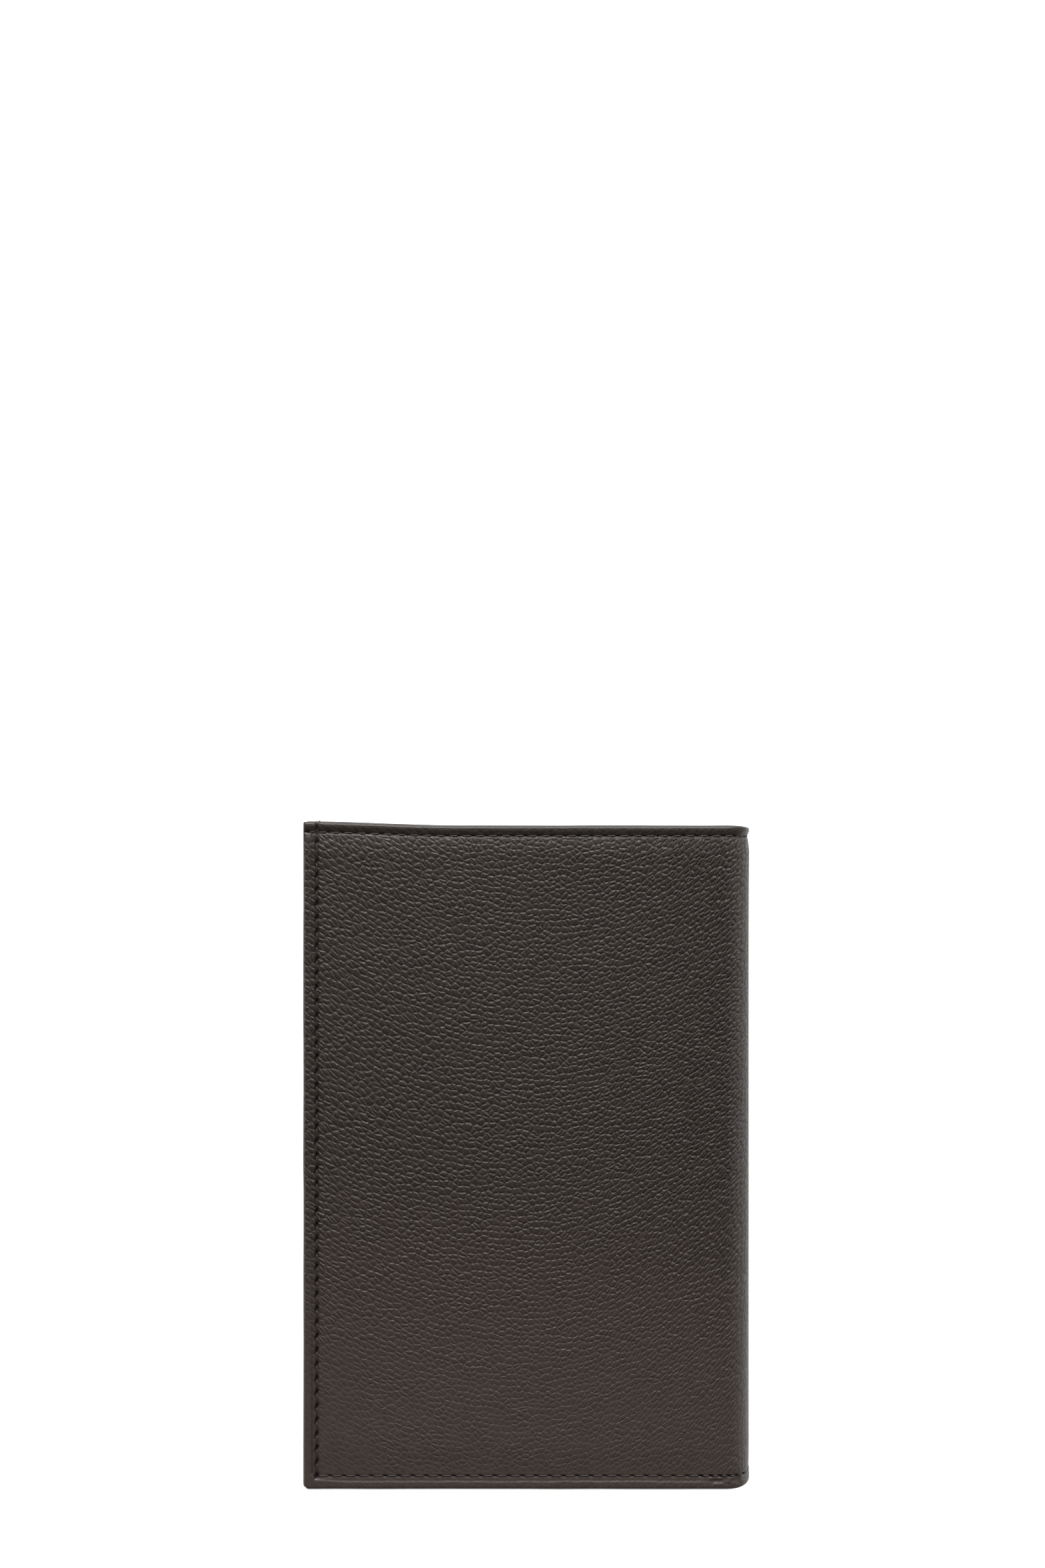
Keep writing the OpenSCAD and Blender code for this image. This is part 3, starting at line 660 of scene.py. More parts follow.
def shell_half(cover, material):
    """One half of the shell: its face grid, then the rings of its edge, hem and inner skin."""
    # The mesh is finest on the strips beside the edges, and follows the rows' holes elsewhere.
    cols = np.concatenate([
        steps((RIM_SIDE, 4.7, 0.19)),
        between_stitches(BOTTOM_HOLES, 4.9, 86.0, (-0.5, -0.15, 0.15, 0.5, 1.1, 1.9)),
        steps((86.2, 97.0, 0.3), (97.0, MIDDLE, 0.42))])
    rows = np.concatenate([
        steps((RIM_BOTTOM, 4.9, 0.19)),
        between_stitches(SIDE_HOLES, 5.1, HEIGHT - 4.7, (-0.42, -0.14, 0.14, 0.42, 1.1, 1.9)),
        steps((HEIGHT - 4.5, HEIGHT - RIM_TOP, 0.16))])
    along, up = np.meshgrid(cols, rows, indexing="ij")
    out = relief(along, up, cover)
    n_face = along.size
    number = np.arange(n_face).reshape(along.shape)
    flat = [np.stack([along.ravel(), up.ravel()], -1)]
    depth = [-out.ravel()]
    faces = quads(number).tolist()

    path = edge_path(cols, rows)
    i, j, nx, ny, square = [np.array(v) for v in zip(*path)]
    i, j = i.astype(int), j.astype(int)
    base = np.stack([cols[i], rows[j]], -1)
    reach = np.where(ny > 0, RIM_TOP, RIM_BOTTOM)
    fuller = (np.abs(nx) ** square + np.abs(ny) ** square) ** (-1 / square)
    outward = np.stack([nx * RIM_SIDE * fuller, ny * reach * fuller], -1)
    start = -out[i, j]
    # A rim turned by hand isn't quite straight.
    ripple = 0.05 * rumple(base[:, 0], base[:, 1], 8, 5)[:, None]
    # Round the spine the edge is rolled fuller, because more leather is gathered there.
    full = 1 - 0.5 * smooth((base[:, 0] - FOLD_ALONG) / 4)[:, None]
    rings, number_rings, first = [], [number[i, j]], n_face
    for turn in ROLL:
        fade = np.cos(turn) ** 2 if turn < math.pi / 2 else 0.0
        sideways = math.sin(turn) ** full * (1 + ripple * (turn < 2)) if turn < 3.1 else 0.0
        places = base + outward * sideways
        inward = 1 - math.copysign(1, math.cos(turn)) * abs(math.cos(turn)) ** full[:, 0]
        rings.append((places, EDGE / 2 * inward + start * fade))
    hem_end = np.clip(base, (HEM, HEM), (np.inf, HEIGHT - HEM))
    for places, deep in (((base + hem_end) / 2, EDGE), (hem_end, EDGE),
                         (hem_end, LINING_DEPTH), (base, LINING_DEPTH)):
        rings.append((places, np.full(len(base), deep)))
    skin = EDGE / 2 - LEATHER
    for turn in SKIN_ROLL:
        places = base + outward * 0.15 * math.sin(turn)
        rings.append((places, np.full(len(base), EDGE / 2 - skin * math.cos(turn))))
    for places, deep in rings:
        flat.append(places)
        depth.append(deep)
        number_rings.append(first + np.arange(len(base)))
        first += len(base)
    ring_grid = np.stack(number_rings)
    faces += quads(ring_grid[::-1]).tolist()

    # The inner skin: a strip from bottom to top for each column, and one face by the free side.
    inner = ring_grid[-1]
    n_bottom = len(cols) - 1
    below = inner[:n_bottom][::-1]
    above = inner[-n_bottom:]
    for k in range(n_bottom - 1):
        faces.append([below[k], above[k], above[k + 1], below[k + 1]])
    faces.append([*inner[n_bottom:-n_bottom], above[0], below[0]])
    # The cut at the spine's middle.
    faces.append([*number[-1], *ring_grid[1:, -1], *ring_grid[1:, 0][::-1]])

    flat, depth = np.concatenate(flat), np.concatenate(depth)
    a, u = flat[:, 0], flat[:, 1]
    places = fold_up(*round_corner(a, u, EDGE / 2, EDGE / 2, -1), depth, cover)
    # On the rolled edge the flat place runs on past the face, round to the hem and the skin.
    ring_past = np.append(EDGE / 2 * ROLL, PAST_ROLL)
    wrapped = np.concatenate([np.zeros(n_face), np.repeat(ring_past, len(base))])
    on_face = np.concatenate([flat[:n_face], np.tile(base, (len(ring_past), 1))])
    outwards = np.concatenate([np.zeros((n_face, 2)),
                               np.tile(np.stack([nx, ny], -1), (len(ring_past), 1))])
    on_flat = on_face + outwards * wrapped[:, None]
    holes = needle_holes(a, u) * (wrapped == 0)
    if cover == "front":
        faces = [face[::-1] for face in faces]
    return make_piece(
        f"{cover}_shell", places, faces, material,
        flat_mm=np.stack([on_flat[:, 0], on_flat[:, 1], np.zeros(len(a))], -1),
        lie=grain_lie(on_flat[:, 0], on_flat[:, 1], cover),
        # Painted shade in needle holes and the crease; the rolled edge partly burnish, partly
        # painted shade.
        grain=grain_strength(a, u), pit=darkened(a, u, wrapped, holes),
        # Painted shade on each pebble, stronger higher up.
        stain=pebble_shade_strength(u),
    )


shells = {}
for cover, stands_for in (
    ("back", ("back_shell_leather", "spine_shell_leather")),
    ("front", ("front_shell_leather",)),
):
    shells[cover] = shell_half(cover, shell_leather)
    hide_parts(*stands_for)
    print(cover, "shell:", len(shells[cover].data.polygons), "faces")

# %% [markdown]
# ## Thread
# The seams are sewn with bonded polyester, three plies twisted to about 0.4 mm, dyed like the
# leather. Each stitch that shows rises out of one needle hole, lies on the leather and dives
# into the next. A plain bent cylinder would do from far away. Here the plies are cut into the
# tube as three ridges that wind along it, because they are what makes thread look like thread.
# The thread's IOR is that of polyester, about 1.57, and its roughness about 0.6.


# %% Dyed polyester thread
def bonded_thread(name, colour, paler):
    """Thread in two browns, with fibres as fine as 0.1 mm and slow patches."""
    material, tree = new_material(name)
    place = add(tree, "TexCoord").outputs["Object"]
    fibres = add(tree, "TexNoise", Vector=place, Scale=9000.0, Detail=2.0)
    patches = add(tree, "TexNoise", Vector=place, Scale=260.0, Detail=2.0)
    bump = add(tree, "Bump", Strength=0.5, Distance=0.03 * MM, Height=fibres)
    surface(tree, Base_Color=between(tree, patches, linear(colour), linear(paler)),
            Roughness=0.6, IOR=1.57, Normal=bump)
    return material


brown_thread = bonded_thread("dyed_polyester_thread", "#211917", "#3d302c")
print(brown_thread.name, "has", len(brown_thread.node_tree.nodes), "nodes")


# %% Sewing a row
# The thread's radius, how far its middle lies above the leather, and its turns in a stitch.
THREAD_RADIUS, ON_LEATHER, TURNS = 0.17, 0.06, 7.5


def twisted_tube(line, outer, radius, turns):
    """Rings of a three-ply thread along a line; outer is the same line, further out. The plies
    stand a sixth of the radius proud, the ends taper, and the thread is pressed a bit flat."""
    above = outer - line
    above /= np.linalg.norm(above, axis=1)[:, None]
    ahead = np.gradient(line, axis=0)
    ahead /= np.linalg.norm(ahead, axis=1)[:, None]
    beside = np.cross(ahead, above)
    beside /= np.linalg.norm(beside, axis=1)[:, None]
    above = np.cross(beside, ahead)
    t = np.linspace(0, 1, len(line))
    turn = np.linspace(0, 2 * math.pi, 9, endpoint=False)
    reach = radius * (1 + 0.16 * np.cos(3 * (t[:, None] * turns + turn[None, :])))
    reach *= 1 - 0.35 * np.abs(2 * t[:, None] - 1) ** 6
    ring = (np.cos(turn)[None, :, None] * beside[:, None, :]
            + np.sin(turn)[None, :, None] * above[:, None, :] * 0.85)
    return line[:, None, :] + ring * reach[:, :, None] * MM


def stitch(cover, begin, end, across, face, outward, clear=0.42, radius=THREAD_RADIUS,
           proud=ON_LEATHER):
    """One stitch's rings: begin and end are the flat places of its two holes, and face gives
    the depth it lies on. It keeps clear of the holes' middles, and both ends dive 0.3 mm."""
    begin, end = np.array(begin, float), np.array(end, float)
    t = np.linspace(0, 1, 11)
    length = np.hypot(*(end - begin))
    run = (end - begin) / length
    side = np.array([-run[1], run[0]])
    spot = begin + np.outer(clear + t * (length - 2 * clear), run)
    spot = spot + np.outer(across * (t - 0.5), side)
    swing = np.abs(2 * t - 1)
    rise = proud * (1 - swing ** 4) - 0.30 * swing ** 7
    deep = face(spot[:, 0], spot[:, 1]) + outward * rise
    line = fold_up(spot[:, 0], spot[:, 1], deep, cover)
    outer = fold_up(spot[:, 0], spot[:, 1], deep + outward * 0.5, cover)
    return twisted_tube(line, outer, radius, TURNS)


def row(cover, way, at, holes, across, face, outward, proud=ON_LEATHER):
    """A row's stitches from hole to hole; it runs up, or along, at a place of the other kind."""
    spots = [(at, hole) if way == "up" else (hole, at) for hole in holes]
    return [stitch(cover, low, high, across, face, outward, proud=proud)
            for low, high in zip(spots[:-1], spots[1:])]


def sew(name, tubes, material):
    """One thread piece from the rings of its stitches."""
    places, faces, first = [], [], 0
    for rings in tubes:
        grid = first + np.arange(rings.shape[0] * rings.shape[1]).reshape(rings.shape[:2])
        closed = np.concatenate([grid, grid[:, :1]], 1)
        faces += quads(closed).tolist()
        faces += [grid[0].tolist(), grid[-1][::-1].tolist()]
        places.append(rings.reshape(-1, 3))
        first += grid.size
    return make_piece(name, np.concatenate(places), faces, material, sharp=70)


def outer_face(cover):
    """The outer leather's depth without its needle holes."""
    return lambda along, up: -(relief(along, up, cover) + needle_holes(along, up, *SLIT_DEPTHS))


def over_the_edge(cover):
    """The side row's end: over the rolled top edge, with three back stitches beside it."""
    on = outer_face(cover)
    # Four places up the face to the rim, then 150 degrees round the rolled edge.
    turn = np.radians(np.linspace(0, 150, 13))
    last = HEIGHT - RIM_TOP
    up = np.append(np.linspace(TOP_ROW + 0.1, last - 0.15, 4), last + 0.68 * np.sin(turn))
    along = SIDE_ROW + 0.25 - 0.4 * np.linspace(0, 1, len(up)) ** 0.7
    rolled = EDGE / 2 - (EDGE / 2 + 0.06) * np.cos(turn)
    deep = np.append(on(along[:4], up[:4]) - 0.02, rolled)
    out_up = np.append(up[:4], last + 1.3 * np.sin(turn))
    out_deep = np.append(deep[:4] - 0.5, EDGE / 2 - (EDGE / 2 + 0.6) * np.cos(turn))
    line = fold_up(along, up, deep, cover)
    tubes = [twisted_tube(line, fold_up(along, out_up, out_deep, cover), THREAD_RADIUS, 9)]
    # The back stitches: how far from the row, where below the top row, their lean and length.
    for from_row, start, lean, length in ((-0.95, -0.1, 0.3, 1.7), (-0.35, 0.0, 0.25, 1.9),
                                          (0.30, 0.2, 0.05, 2.0)):
        begin = (SIDE_ROW + from_row, TOP_ROW + start)
        end = (SIDE_ROW + from_row + lean, TOP_ROW + start - length)
        tubes.append(stitch(cover, begin, end, 0.0, lambda a, u: on(a, u) - 0.10, -1,
                            clear=0.1, radius=0.12))
    return tubes


for cover, seam_nodes in (
    ("front", ["front_seam_stitches"]), ("back", ["back_seam_stitches", "spine_stitches"]),
):
    on = outer_face(cover)
    seam = sew(
        f"{cover}_outer_seam_thread",
        row(cover, "up", SIDE_ROW, SIDE_HOLES, -0.14, on, -1)
        + row(cover, "along", BOTTOM_ROW, BOTTOM_HOLES, 0.10, on, -1, proud=-0.05)
        + over_the_edge(cover), brown_thread)
    top = sew(f"{cover}_top_thread", row(cover, "along", TOP_ROW, TOP_HOLES, 0.06, on, -1),
              brown_thread)
    # The back cover comes last, and the image points are checked on its threads.
    threads = {"seam": seam, "top": top}
    for piece, stands_for in ((seam, seam_nodes), (top, [f"{cover}_top_stitches"])):
        bend_with_fold(piece, cover)
        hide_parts(*stands_for)
        print(piece.name, len(piece.data.polygons), "faces")

# %% [markdown]
# ## Inside layers
# Everything inside is cut from thin sheets: foam, cloth lining, thin leather, and the pocket
# panels with the welts that give them room. Each is a slab with soft edges: a cut sheet of
# leather is never sharp, because its edge is pared, painted and handled. One function
# draws them all, from a flat rectangle, two depths, and the small ups and downs of its face.


# %% A soft-edged sheet
# Each layer's two depths below the outer face, the same as the source's.
FOAM, BOARD, SHELL_LINING = (0.8, 1.2), (1.2, 1.8), (LINING_DEPTH, 2.0)
COMPARTMENT, INNER = (2.6, 2.8), (2.8, 3.4)
WELT, PANEL, CARD_WELT, CARD = (3.4, 3.9), (3.9, 4.5), (4.5, 5.5), (5.5, 6.0)
# How deep a needle hole is on an inside face.
INNER_PIT = 0.3


def sheet_arrays(cover, along, up, depth, step=1.0, lift=None, soft=None, corner=0.0,
                 cut=False, open_end=False, holes=None):
    """Arrays of one sheet. lift moves the whole sheet, soft only its inner face. cut leaves its
    spine end square, at the spine's middle, and open_end leaves that end without a wall."""
    thick = depth[1] - depth[0]
    edge = thick / 2
    fine = edge * np.array([0, 0.12, 0.35, 0.65, 1.0])
    ends = [along[0] + fine, [along[1]] if cut else along[1] - fine]
    bend = np.arange(max(FOLD_ALONG - 1, along[0] + thick), along[1], 0.5) \
        if along[1] > FOLD_ALONG else []
    middle = np.arange(along[0] + edge + step / 2, min(along[1], FOLD_ALONG - 1) - edge, step)
    cols = np.unique(np.round(np.concatenate([*ends, middle, bend]), 4))
    rows = np.unique(np.round(np.concatenate([
        up[0] + fine, np.arange(up[0] + edge + step / 2, up[1] - edge, step), up[1] - fine]), 4))
    a, u = np.meshgrid(cols, rows, indexing="ij")
    sides = [a - along[0], u - up[0], up[1] - u] + ([] if cut else [along[1] - a])
    near = np.clip(np.min(sides, axis=0), 0, edge)
    drop = edge - np.sqrt(np.maximum(edge ** 2 - (edge - near) ** 2, 0))
    base = lift(a, u) if lift else np.zeros_like(a)
    swell = soft(a, u) if soft else np.zeros_like(a)
    fade = np.clip(near / edge, 0, 1)
    pits = holes(a, u) if holes else np.zeros_like(a)
    top = depth[0] + drop + base
    face = depth[1] - drop + base + swell * fade - INNER_PIT * pits
    if corner:
        a, u = round_corner(a, u, along[0] + corner, up[0] + corner, -1)
        a, u = round_corner(a, u, along[0] + corner, up[1] - corner, 1)
    number = np.arange(a.size).reshape(a.shape)
    other = number + a.size
    faces = quads(number).tolist() + quads(other)[:, ::-1].tolist()
    walls = [(number[:, 0], other[:, 0]), (other[:, -1], number[:, -1]), (other[0], number[0])]
    if not open_end:
        walls.append((number[-1], other[-1]))
    for one, two in walls:
        faces += np.stack([one[:-1], two[:-1], two[1:], one[1:]], -1).tolist()
    if cover == "front":
        faces = [face_ring[::-1] for face_ring in faces]
    flat = np.concatenate([np.stack([a, u, 0 * a], -1).reshape(-1, 3)] * 2)
    places = fold_up(flat[:, 0], flat[:, 1], np.concatenate([top.ravel(), face.ravel()]), cover)
    pit = np.concatenate([np.zeros(a.size), pits.ravel()])
    return places, faces, flat, pit


# How strong the grain is on the inner leather, and how far painted shade darkens its pebbles.
GRAIN_INSIDE, PEBBLE_SHADE_INSIDE = 0.5, 0.3


def sheet_piece(name, material, *parts):
    """One piece of one or more sheets, welded where they meet."""
    places, faces, flats, pits, first = [], [], [], [], 0
    for place, face, flat, pit in parts:
        places.append(place)
        faces += [[first + i for i in ring] for ring in face]
        flats.append(flat)
        pits.append(pit)
        first += len(place)
    flat = np.concatenate(flats)
    # The inner pieces get painted shade in their needle holes and on each pebble.
    return make_piece(name, np.concatenate(places), faces, material, sharp=60, flat_mm=flat,
                      lie=flat * [0.8, 1.0, 1.0], grain=np.full(len(flat), GRAIN_INSIDE),
                      stain=np.full(len(flat), PEBBLE_SHADE_INSIDE), pit=np.concatenate(pits))


# %% [markdown]
# ### Finishes of the inside
# The inner leather is the same hide split thinner, 0.6 mm, with the grain ironed flatter. The
# lining is a plain weave of polyester, threads 0.25 mm apart; it is drawn at 0.5 mm, because
# its real threads are finer than a pixel. The stiffener is bonded leather board, grey-brown
# with short fibres, and the padding a thin needled felt.

# %% Inner leather, lining, board and felt
inner_leather = grained_cowhide("inner_ironed_cowhide", "#3b302b", "#463a34", 0.7, 0.07)


def woven_lining(name, colour, paler, spacing_mm):
    """A plain weave: warp and weft lie on top by turns. Its sheen is the loose fibres' glow."""
    material, tree = new_material(name)
    flat = add(tree, "Attribute", {"attribute_name": "flat_mm"}).outputs["Vector"]
    warp, weft = [
        add(tree, "TexWave", {"bands_direction": way, "wave_profile": "SIN"},
            Vector=flat, Scale=math.pi / 10 / spacing_mm, Distortion=0.2).outputs["Fac"]
        for way in "XY"]
    cells = add(tree, "TexChecker", Vector=flat, Scale=1 / spacing_mm)
    over = add(tree, "Mix", {"data_type": "FLOAT"}, _0=cells.outputs["Fac"], _2=warp, _3=weft)
    bump = add(tree, "Bump", Strength=0.8, Distance=0.06 * MM, Height=over)
    surface(tree, Base_Color=between(tree, over.outputs[0], linear(colour), linear(paler)),
            Roughness=0.75, IOR=1.57, Sheen_Weight=0.2, Normal=bump)
    return material


def matted_fibres(name, colour, paler, fibre_mm, rough):
    """Board or felt: short fibres in all directions, dull."""
    material, tree = new_material(name)
    place = add(tree, "TexCoord").outputs["Object"]
    fibres = add(tree, "TexNoise", Vector=place, Scale=1 / (fibre_mm * MM), Detail=4.0)
    bump = add(tree, "Bump", Strength=0.5, Distance=0.05 * MM, Height=fibres)
    surface(tree, Base_Color=between(tree, fibres, linear(colour), linear(paler)),
            Roughness=rough, IOR=1.5, Normal=bump)
    return material


lining_cloth = woven_lining("woven_polyester_lining", "#3a302a", "#54473e", 0.5)
leather_board = matted_fibres("bonded_leather_board", "#8f8577", "#b5ab9b", 0.8, 0.85)
padding_felt = matted_fibres("needled_padding_felt", "#c9c5bb", "#e6e2d8", 0.5, 0.95)

# %% [markdown]
# ### Layers that go round the fold
# Foam, both linings and the inner leather are one sheet each on the real holder. Like the shell
# they are drawn in halves that meet at the spine's middle.

# %% Foam, linings and inner leather
# How far up from the bottom edge each layer begins and ends.
UNDER_UP, LINING_UP, INNER_UP = (1.3, 143.7), (6.2, 138.8), (1.0, 138.0)
# How far in from the edges the inner leather begins, and how round the corners are cut.
INSET, CORNER, SMALL_CORNER = 1.0, 0.7, 0.4
UP_INSIDE = SIDE_HOLES[SIDE_HOLES < INNER_UP[1]]
TO_FOLD = BOTTOM_HOLES[BOTTOM_HOLES < FOLD_ALONG]


def with_rows(rows):
    """The needle holes of rows on an inside face. A row is (along or up, where, its holes)."""
    def holes_at(a, u):
        found = np.zeros_like(a)
        for way, at, holes in rows:
            across, run = (a - at, u) if way == "along" else (u - at, a)
            found = np.maximum(found, np.exp(
                -(across / 0.3) ** 2 - (from_nearest(holes, run) / 0.45) ** 2))
        return found
    return holes_at


for kind, label, up, depth, material, slot in (
    ("foam", "foam_pad", UNDER_UP, FOAM, padding_felt, "foam"),
    ("cloth", "shell_lining", LINING_UP, SHELL_LINING, lining_cloth, "lining_cloth"),
    ("cloth", "compartment_lining", INNER_UP, COMPARTMENT, lining_cloth, "lining_cloth"),
    ("leather", "inner_leather", INNER_UP, INNER, inner_leather, "inner_leather"),
):
    # A layer begins as far in from the free edge as from the bottom edge.
    along = up[0]
    for cover in ("back", "front"):
        sewn = [("up", BOTTOM_ROW, BOTTOM_HOLES)] if kind == "leather" else []
        half = sheet_piece(
            f"{cover}_{label}_sheet", material,
            sheet_arrays(cover, (along, MIDDLE), up, depth, cut=True,
                         step=0.9 if kind == "leather" else 2.0,
                         corner=CORNER if up == INNER_UP else SMALL_CORNER,
                         holes=with_rows(sewn)))
        bend_with_fold(half, cover)
        stands_for = [f"{cover}_{label}"] + ([f"spine_{label}"] if cover == "back" else [])
        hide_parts(*stands_for)
        print(half.name, len(half.data.polygons), "faces")

# %% [markdown]
# ### Stiffeners
# The boards of the two covers stay as the CAD made them: a cut board is as plain as that. The
# spine's stay is drawn again, because its bottom end follows the drawn-up edge.

# %% Boards and the spine's stay
for name in ("front_stiffener_board", "back_stiffener_board"):
    nodes[name].data.materials.clear()
    nodes[name].data.materials.append(leather_board)
stay = sheet_piece("spine_stay_board", leather_board, *[
    sheet_arrays(cover, (FOLD_ALONG + ARC + 0.5, MIDDLE), UNDER_UP, BOARD, cut=True,
                 open_end=True) for cover in ("back", "front")])
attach(stay, "spine")
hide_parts("spine_stay")
print(stay.name, len(stay.data.polygons), "faces")

# %% [markdown]
# ### Pockets
# The front cover has one upright pocket for the passport's cover. The back cover has a slip
# pocket over its whole width, with three card pockets on it in steps of 12 mm. Leather
# welts under the edges give each pocket its room. Only two of the card pockets need a cloth
# tongue, because the lowest one has the slip pocket's panel behind it. A panel that has been
# used isn't flat: it swells a little over what it holds, and its mouth stands off.

# %% Pocket panels, card strips, tongues and welts
# How far up each card strip's mouth and bottom end are, and where it climbs over the next.
MOUTHS, ENDS, SLOPES = (73.0, 61.0, 49.0), (53.0, 41.0, INSET), (49.5, 37.5)
STRIP_RISE, RISE_LENGTH = 0.7, 3.0
# How far along the pockets end, the card seam runs, and the space between its two welts.
PASSPORT_MOUTH, SLIP_MOUTH, CARD_ROW = 58.0, 91.8, 90.85
CARD_FROM, CARD_TO = 3.6, 89.9
# The cloth tongues: their play at each side, and the two depths that they begin at.
TONGUE_PLAY, TONGUE = 0.4, (PANEL[1], 4.7)
# Where the side welts end, and the up and down bounds of the bottom and the top welts.
WELT_SIDE, WELT_BOTTOM, WELT_TOP = 4.5, (INSET, 5.0), (132.0, 138.0)


def stand_off(a, u):
    """How the passport panel swells away from its welts and stands off at its mouth."""
    swell = 0.22 * smooth((a - 5) / 20) * smooth((u - 5) / 25) * smooth((134 - u) / 25)
    opened = 0.6 + 0.9 * smooth((a - PASSPORT_MOUTH + 14) / 14)
    return swell * opened + 0.05 * rumple(a, u, 11, 21)


def climb(u, slope):
    """A card strip's climb over the one behind it."""
    return STRIP_RISE * smooth((u - slope) / RISE_LENGTH)


def pressed_mouth(mouth):
    """A strip's mouth, turned and ironed: a low bead, and a pressed line 1.6 mm below it."""
    return lambda a, u: 0.04 * rumple(a, u, 8, 33) - 0.08 * bell(u - mouth + 1.6, 0.3)


def course_of(points):
    """A tongue's depth on its way down between the strips, from (up, depth) points."""
    ups, depths = zip(*points)
    return lambda a, u: np.interp(u, ups, depths) - depths[0]


def leather_part(node, cover, along, up, depth, **settings):
    """One piece of inner leather that rides on a cover and stands for a CAD node."""
    piece = sheet_piece(node + "_soft", inner_leather,
                        sheet_arrays(cover, along, up, depth, **settings))
    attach(piece, f"{cover}_cover")
    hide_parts(node)


side_and_bottom = [("along", SIDE_ROW, UP_INSIDE), ("up", BOTTOM_ROW, TO_FOLD)]
mouth_row = PASSPORT_MOUTH - 2.0
card_rows = with_rows([*side_and_bottom, ("along", CARD_ROW, UP_INSIDE)])
leather_part("passport_pocket_panel", "front", (INSET, PASSPORT_MOUTH), INNER_UP, PANEL,
             step=0.6, soft=stand_off, corner=CORNER,
             holes=with_rows([*side_and_bottom, ("along", mouth_row, UP_INSIDE[1:])]))
leather_part("slip_pocket_panel", "back", (INSET, SLIP_MOUTH), INNER_UP, PANEL, step=0.7,
             soft=lambda a, u: 0.04 * rumple(a, u, 12, 29), corner=CORNER, holes=card_rows)
for name, mouth, end, slope in zip(("upper", "middle", "lower"), MOUTHS, ENDS, (None, *SLOPES)):
    leather_part(f"card_pocket_{name}", "back", (INSET, SLIP_MOUTH), (end, mouth), CARD,
                 step=0.6, lift=(lambda a, u: climb(u, slope)) if slope else None,
                 soft=pressed_mouth(mouth), corner=CORNER if name == "lower" else 0.0,
                 holes=card_rows)
for node, cover, along, up, depth in (
    ("passport_welt_side", "front", (INSET, WELT_SIDE), INNER_UP, WELT),
    ("passport_welt_bottom", "front", (WELT_SIDE, PASSPORT_MOUTH), WELT_BOTTOM, WELT),
    ("passport_welt_top", "front", (WELT_SIDE, PASSPORT_MOUTH), WELT_TOP, WELT),
    ("slip_welt_side", "back", (INSET, WELT_SIDE), INNER_UP, WELT),
    ("slip_welt_bottom", "back", (WELT_SIDE, SLIP_MOUTH), WELT_BOTTOM, WELT),
    ("slip_welt_top", "back", (WELT_SIDE, SLIP_MOUTH), WELT_TOP, WELT),
    ("card_welt_left", "back", (INSET, CARD_FROM), (INSET, MOUTHS[0]), CARD_WELT),
    ("card_welt_right", "back", (CARD_TO, SLIP_MOUTH), (INSET, MOUTHS[0]), CARD_WELT),
    ("card_welt_bottom", "back", (CARD_FROM, CARD_TO), WELT_BOTTOM, CARD_WELT),
):
    leather_part(node, cover, along, up, depth, step=1.5,
                 corner=CORNER if along[0] == INSET else 0.0)
# Each tongue's course: how far up it is at each depth.
for name, course in (
    ("upper", [(24.6, 4.5), (26.6, 4.5), (28.6, 4.7), (50.0, 4.7), (53.0, 5.3), (72.5, 5.3)]),
    ("middle", [(12.6, 4.5), (14.6, 4.5), (16.6, 5.1), (38.0, 5.1), (41.0, 5.3), (49.5, 5.3)]),
):
    first, last = course[0][0], course[-1][0]
    tongue = sheet_piece(f"card_tongue_{name}_cloth", lining_cloth, sheet_arrays(
        "back", (CARD_FROM + TONGUE_PLAY, CARD_TO - TONGUE_PLAY), (first, last), TONGUE,
        lift=course_of(course)))
    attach(tongue, "back_cover")
    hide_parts(f"card_tongue_{name}")

# %% [markdown]
# ### Seams inside
# The same needle holes go through all layers, so the inner rows lie right behind the outer
# ones. On the card pockets a row steps from one strip down to the next.


# %% Inner rows
def pocket_face(a, _):
    """How deep the thread lies on the passport pocket, or on the inner leather beside it."""
    return np.where(a < PASSPORT_MOUTH, PANEL[1] + 0 * a, INNER[1])


def card_face(_, u):
    """How deep the thread lies on the card strips, or on the slip pocket above them."""
    return np.where(u < MOUTHS[2], CARD[1] + climb(u, SLOPES[1]), np.where(
        u < MOUTHS[1], CARD[1] + climb(u, SLOPES[0]), np.where(
            u < MOUTHS[0], CARD[1], PANEL[1])))


to_card_row = BOTTOM_HOLES[BOTTOM_HOLES < CARD_ROW]
for name, cover, stands_for, tubes in (
    ("front_inner_seam_thread", "front", "front_seam_stitches",
     row("front", "up", SIDE_ROW, UP_INSIDE, 0.14, pocket_face, 1)
     + row("front", "along", BOTTOM_ROW, TO_FOLD, -0.10, pocket_face, 1)),
    ("back_inner_seam_thread", "back", "back_seam_stitches",
     row("back", "up", SIDE_ROW, UP_INSIDE, 0.14, card_face, 1)
     + row("back", "along", BOTTOM_ROW, to_card_row, -0.10, card_face, 1)),
    ("passport_pocket_thread", "front", "passport_pocket_stitches",
     row("front", "up", mouth_row, UP_INSIDE[1:], 0.1, pocket_face, 1)),
    ("card_seam_thread", "back", "card_seam_stitches",
     row("back", "up", CARD_ROW, UP_INSIDE, 0.1, card_face, 1)),
):
    piece = sew(name, tubes, brown_thread)
    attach(piece, f"{cover}_cover")
    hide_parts(stands_for)
    print(name, len(piece.data.polygons), "faces")

# %% [markdown]
# ## Floor and light
# The photograph has one broad, soft light from beyond the top edge, and a white ground without
# a shadow. A light that made the ground so white would wash out the dark leather. So the floor
# is white paper that glows by itself, and the leather is lit by one large lamp and a dim sky.
# The standard view keeps the colours as they are given.

# %% Floor, light and finish
paper, tree = new_material("floor_paper")
surface(tree, Base_Color=linear("#f4f3f1"), Roughness=0.9, Emission_Color=(1, 1, 1, 1),
        Emission_Strength=0.92)
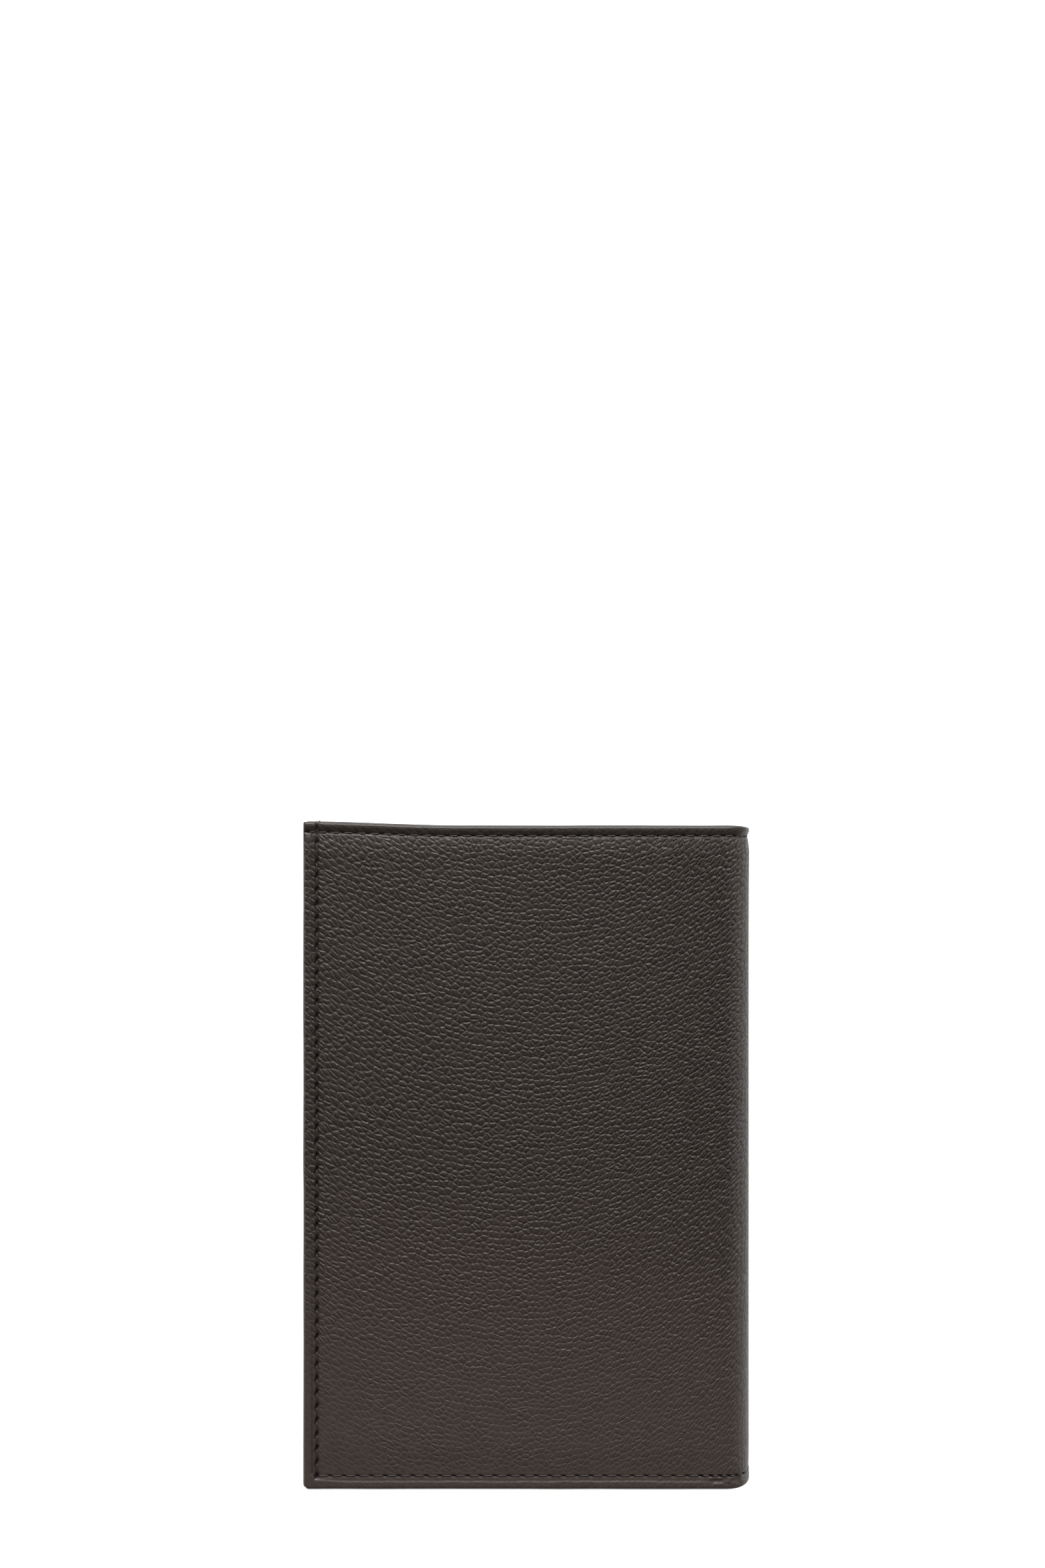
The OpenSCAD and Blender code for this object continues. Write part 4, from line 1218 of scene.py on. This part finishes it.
# The glow isn't sampled as a lamp: light from it that reaches the leather is found by bounces.
paper.cycles.emission_sampling = "NONE"
bpy.ops.mesh.primitive_plane_add(size=60, location=(0, 0, -0.0002))
floor = bpy.context.object
floor.name = "floor"
floor.data.materials.append(paper)

lamp_data = bpy.data.lights.new("key_from_top", "AREA")
lamp_data.shape = "RECTANGLE"
lamp_data.size, lamp_data.size_y = 1.6, 0.6
lamp_data.energy = 46
lamp = bpy.data.objects.new("key_from_top", lamp_data)
bpy.context.scene.collection.objects.link(lamp)
lamp.location = (0.0, 1.5, 0.85)
lamp.rotation_euler = (-lamp.location).to_track_quat("-Z", "Y").to_euler()
world = bpy.data.worlds.new("studio")
bpy.context.scene.world = world
world.use_nodes = True
sky = world.node_tree.nodes["Background"].inputs
sky["Color"].default_value = (1, 1, 1, 1)
sky["Strength"].default_value = 0.13
bpy.context.scene.view_settings.view_transform = "Standard"
print("lit by", lamp.name, "at", [round(v, 2) for v in lamp.location])

# %% [markdown]
# ## How far each thing shows from its point
# The finished vertices are projected into the picture: the outermost ones for an edge, those
# of the thread for a row, and those of the leather for a crease, a ridge or a hole.


# %% Checking the image points
def in_picture(piece):
    """The picture's x and y of each of a piece's vertices."""
    places = np.empty(len(piece.data.vertices) * 3)
    piece.data.vertices.foreach_get("co", places)
    away = places.reshape(-1, 3) - np.array(camera.location)
    scale = ZOOM / -away[:, 2]
    return np.stack([W / 2 + away[:, 0] * scale, H / 2 - away[:, 1] * scale], -1)


def stored(piece, key, field, size):
    """Numbers stored on a piece's vertices, size of them each."""
    values = np.empty(len(piece.data.vertices) * size, np.float32)
    piece.data.attributes[key].data.foreach_get(field, values)
    return values.reshape(-1, size)


def miss(name, seen, reach, *ways):
    """How far in x and y a thing shows from its point: of what is seen in reach of the point,
    each way takes one number. It is None in a way that isn't held, or if nothing is seen."""
    away = seen - POINTS[name]
    away = away[(abs(away) < reach).all(1)]
    return [round(float(way(away[:, i])), 2) if way and len(away) else None
            for i, way in enumerate(ways)]


leather = in_picture(shells["back"])
outline = np.concatenate([leather, in_picture(shells["front"])])
seam, top_thread = in_picture(threads["seam"]), in_picture(threads["top"])
flat_xy = stored(shells["back"], "flat_mm", "vector", 3)
on_crease = leather[abs(flat_xy[:, 0] - SIDE_CREASE) < 0.15]
on_ridge = leather[abs(flat_xy[:, 1] - BOTTOM_RIDGE) < 0.15]
in_hole = leather[stored(shells["back"], "pit", "value", 1)[:, 0] > 0.9]
corner = outline[[np.argmin(outline.sum(1))]]
FAR = 1e9
misses = {name: miss(name, *how) for name, *how in (
    ("left_edge", outline, (FAR, 5), np.min, None),
    ("right_edge", outline, (FAR, 5), np.max, None),
    ("top_edge", outline, (4, FAR), None, np.min),
    ("bottom_edge", outline, (4, FAR), None, np.max),
    ("side_row", seam, (8, 30), np.mean, None),
    ("side_crease", on_crease, (8, 6), np.mean, None),
    ("top_row", top_thread, (30, 8), None, np.mean),
    ("bottom_row", seam, (30, 8), None, np.mean),
    ("bottom_ridge", on_ridge, (6, 8), None, np.mean),
    ("corner_hole", in_hole, (4, 4), np.mean, np.mean),
    ("back_tack", seam, (6, 6), np.mean, np.mean),
    ("top_left_corner", corner, (FAR, FAR), np.mean, np.mean),
    ("spine_row_top", top_thread, (5, 9), np.max, np.mean),
    ("spine_row_bottom", seam, (5, 9), np.max, np.mean),
)}
print("furthest from its point:", max(abs(v) for m in misses.values() for v in m if v is not None))

# %% [markdown]
# ## Baking the shell's place
# The shell's place is baked into its mesh, as the layers' were. It comes last, because the points
# above are measured on it as it lies.

# %% Baking the shell's place
for cover in shells:
    bend_with_fold(shells[cover], cover)
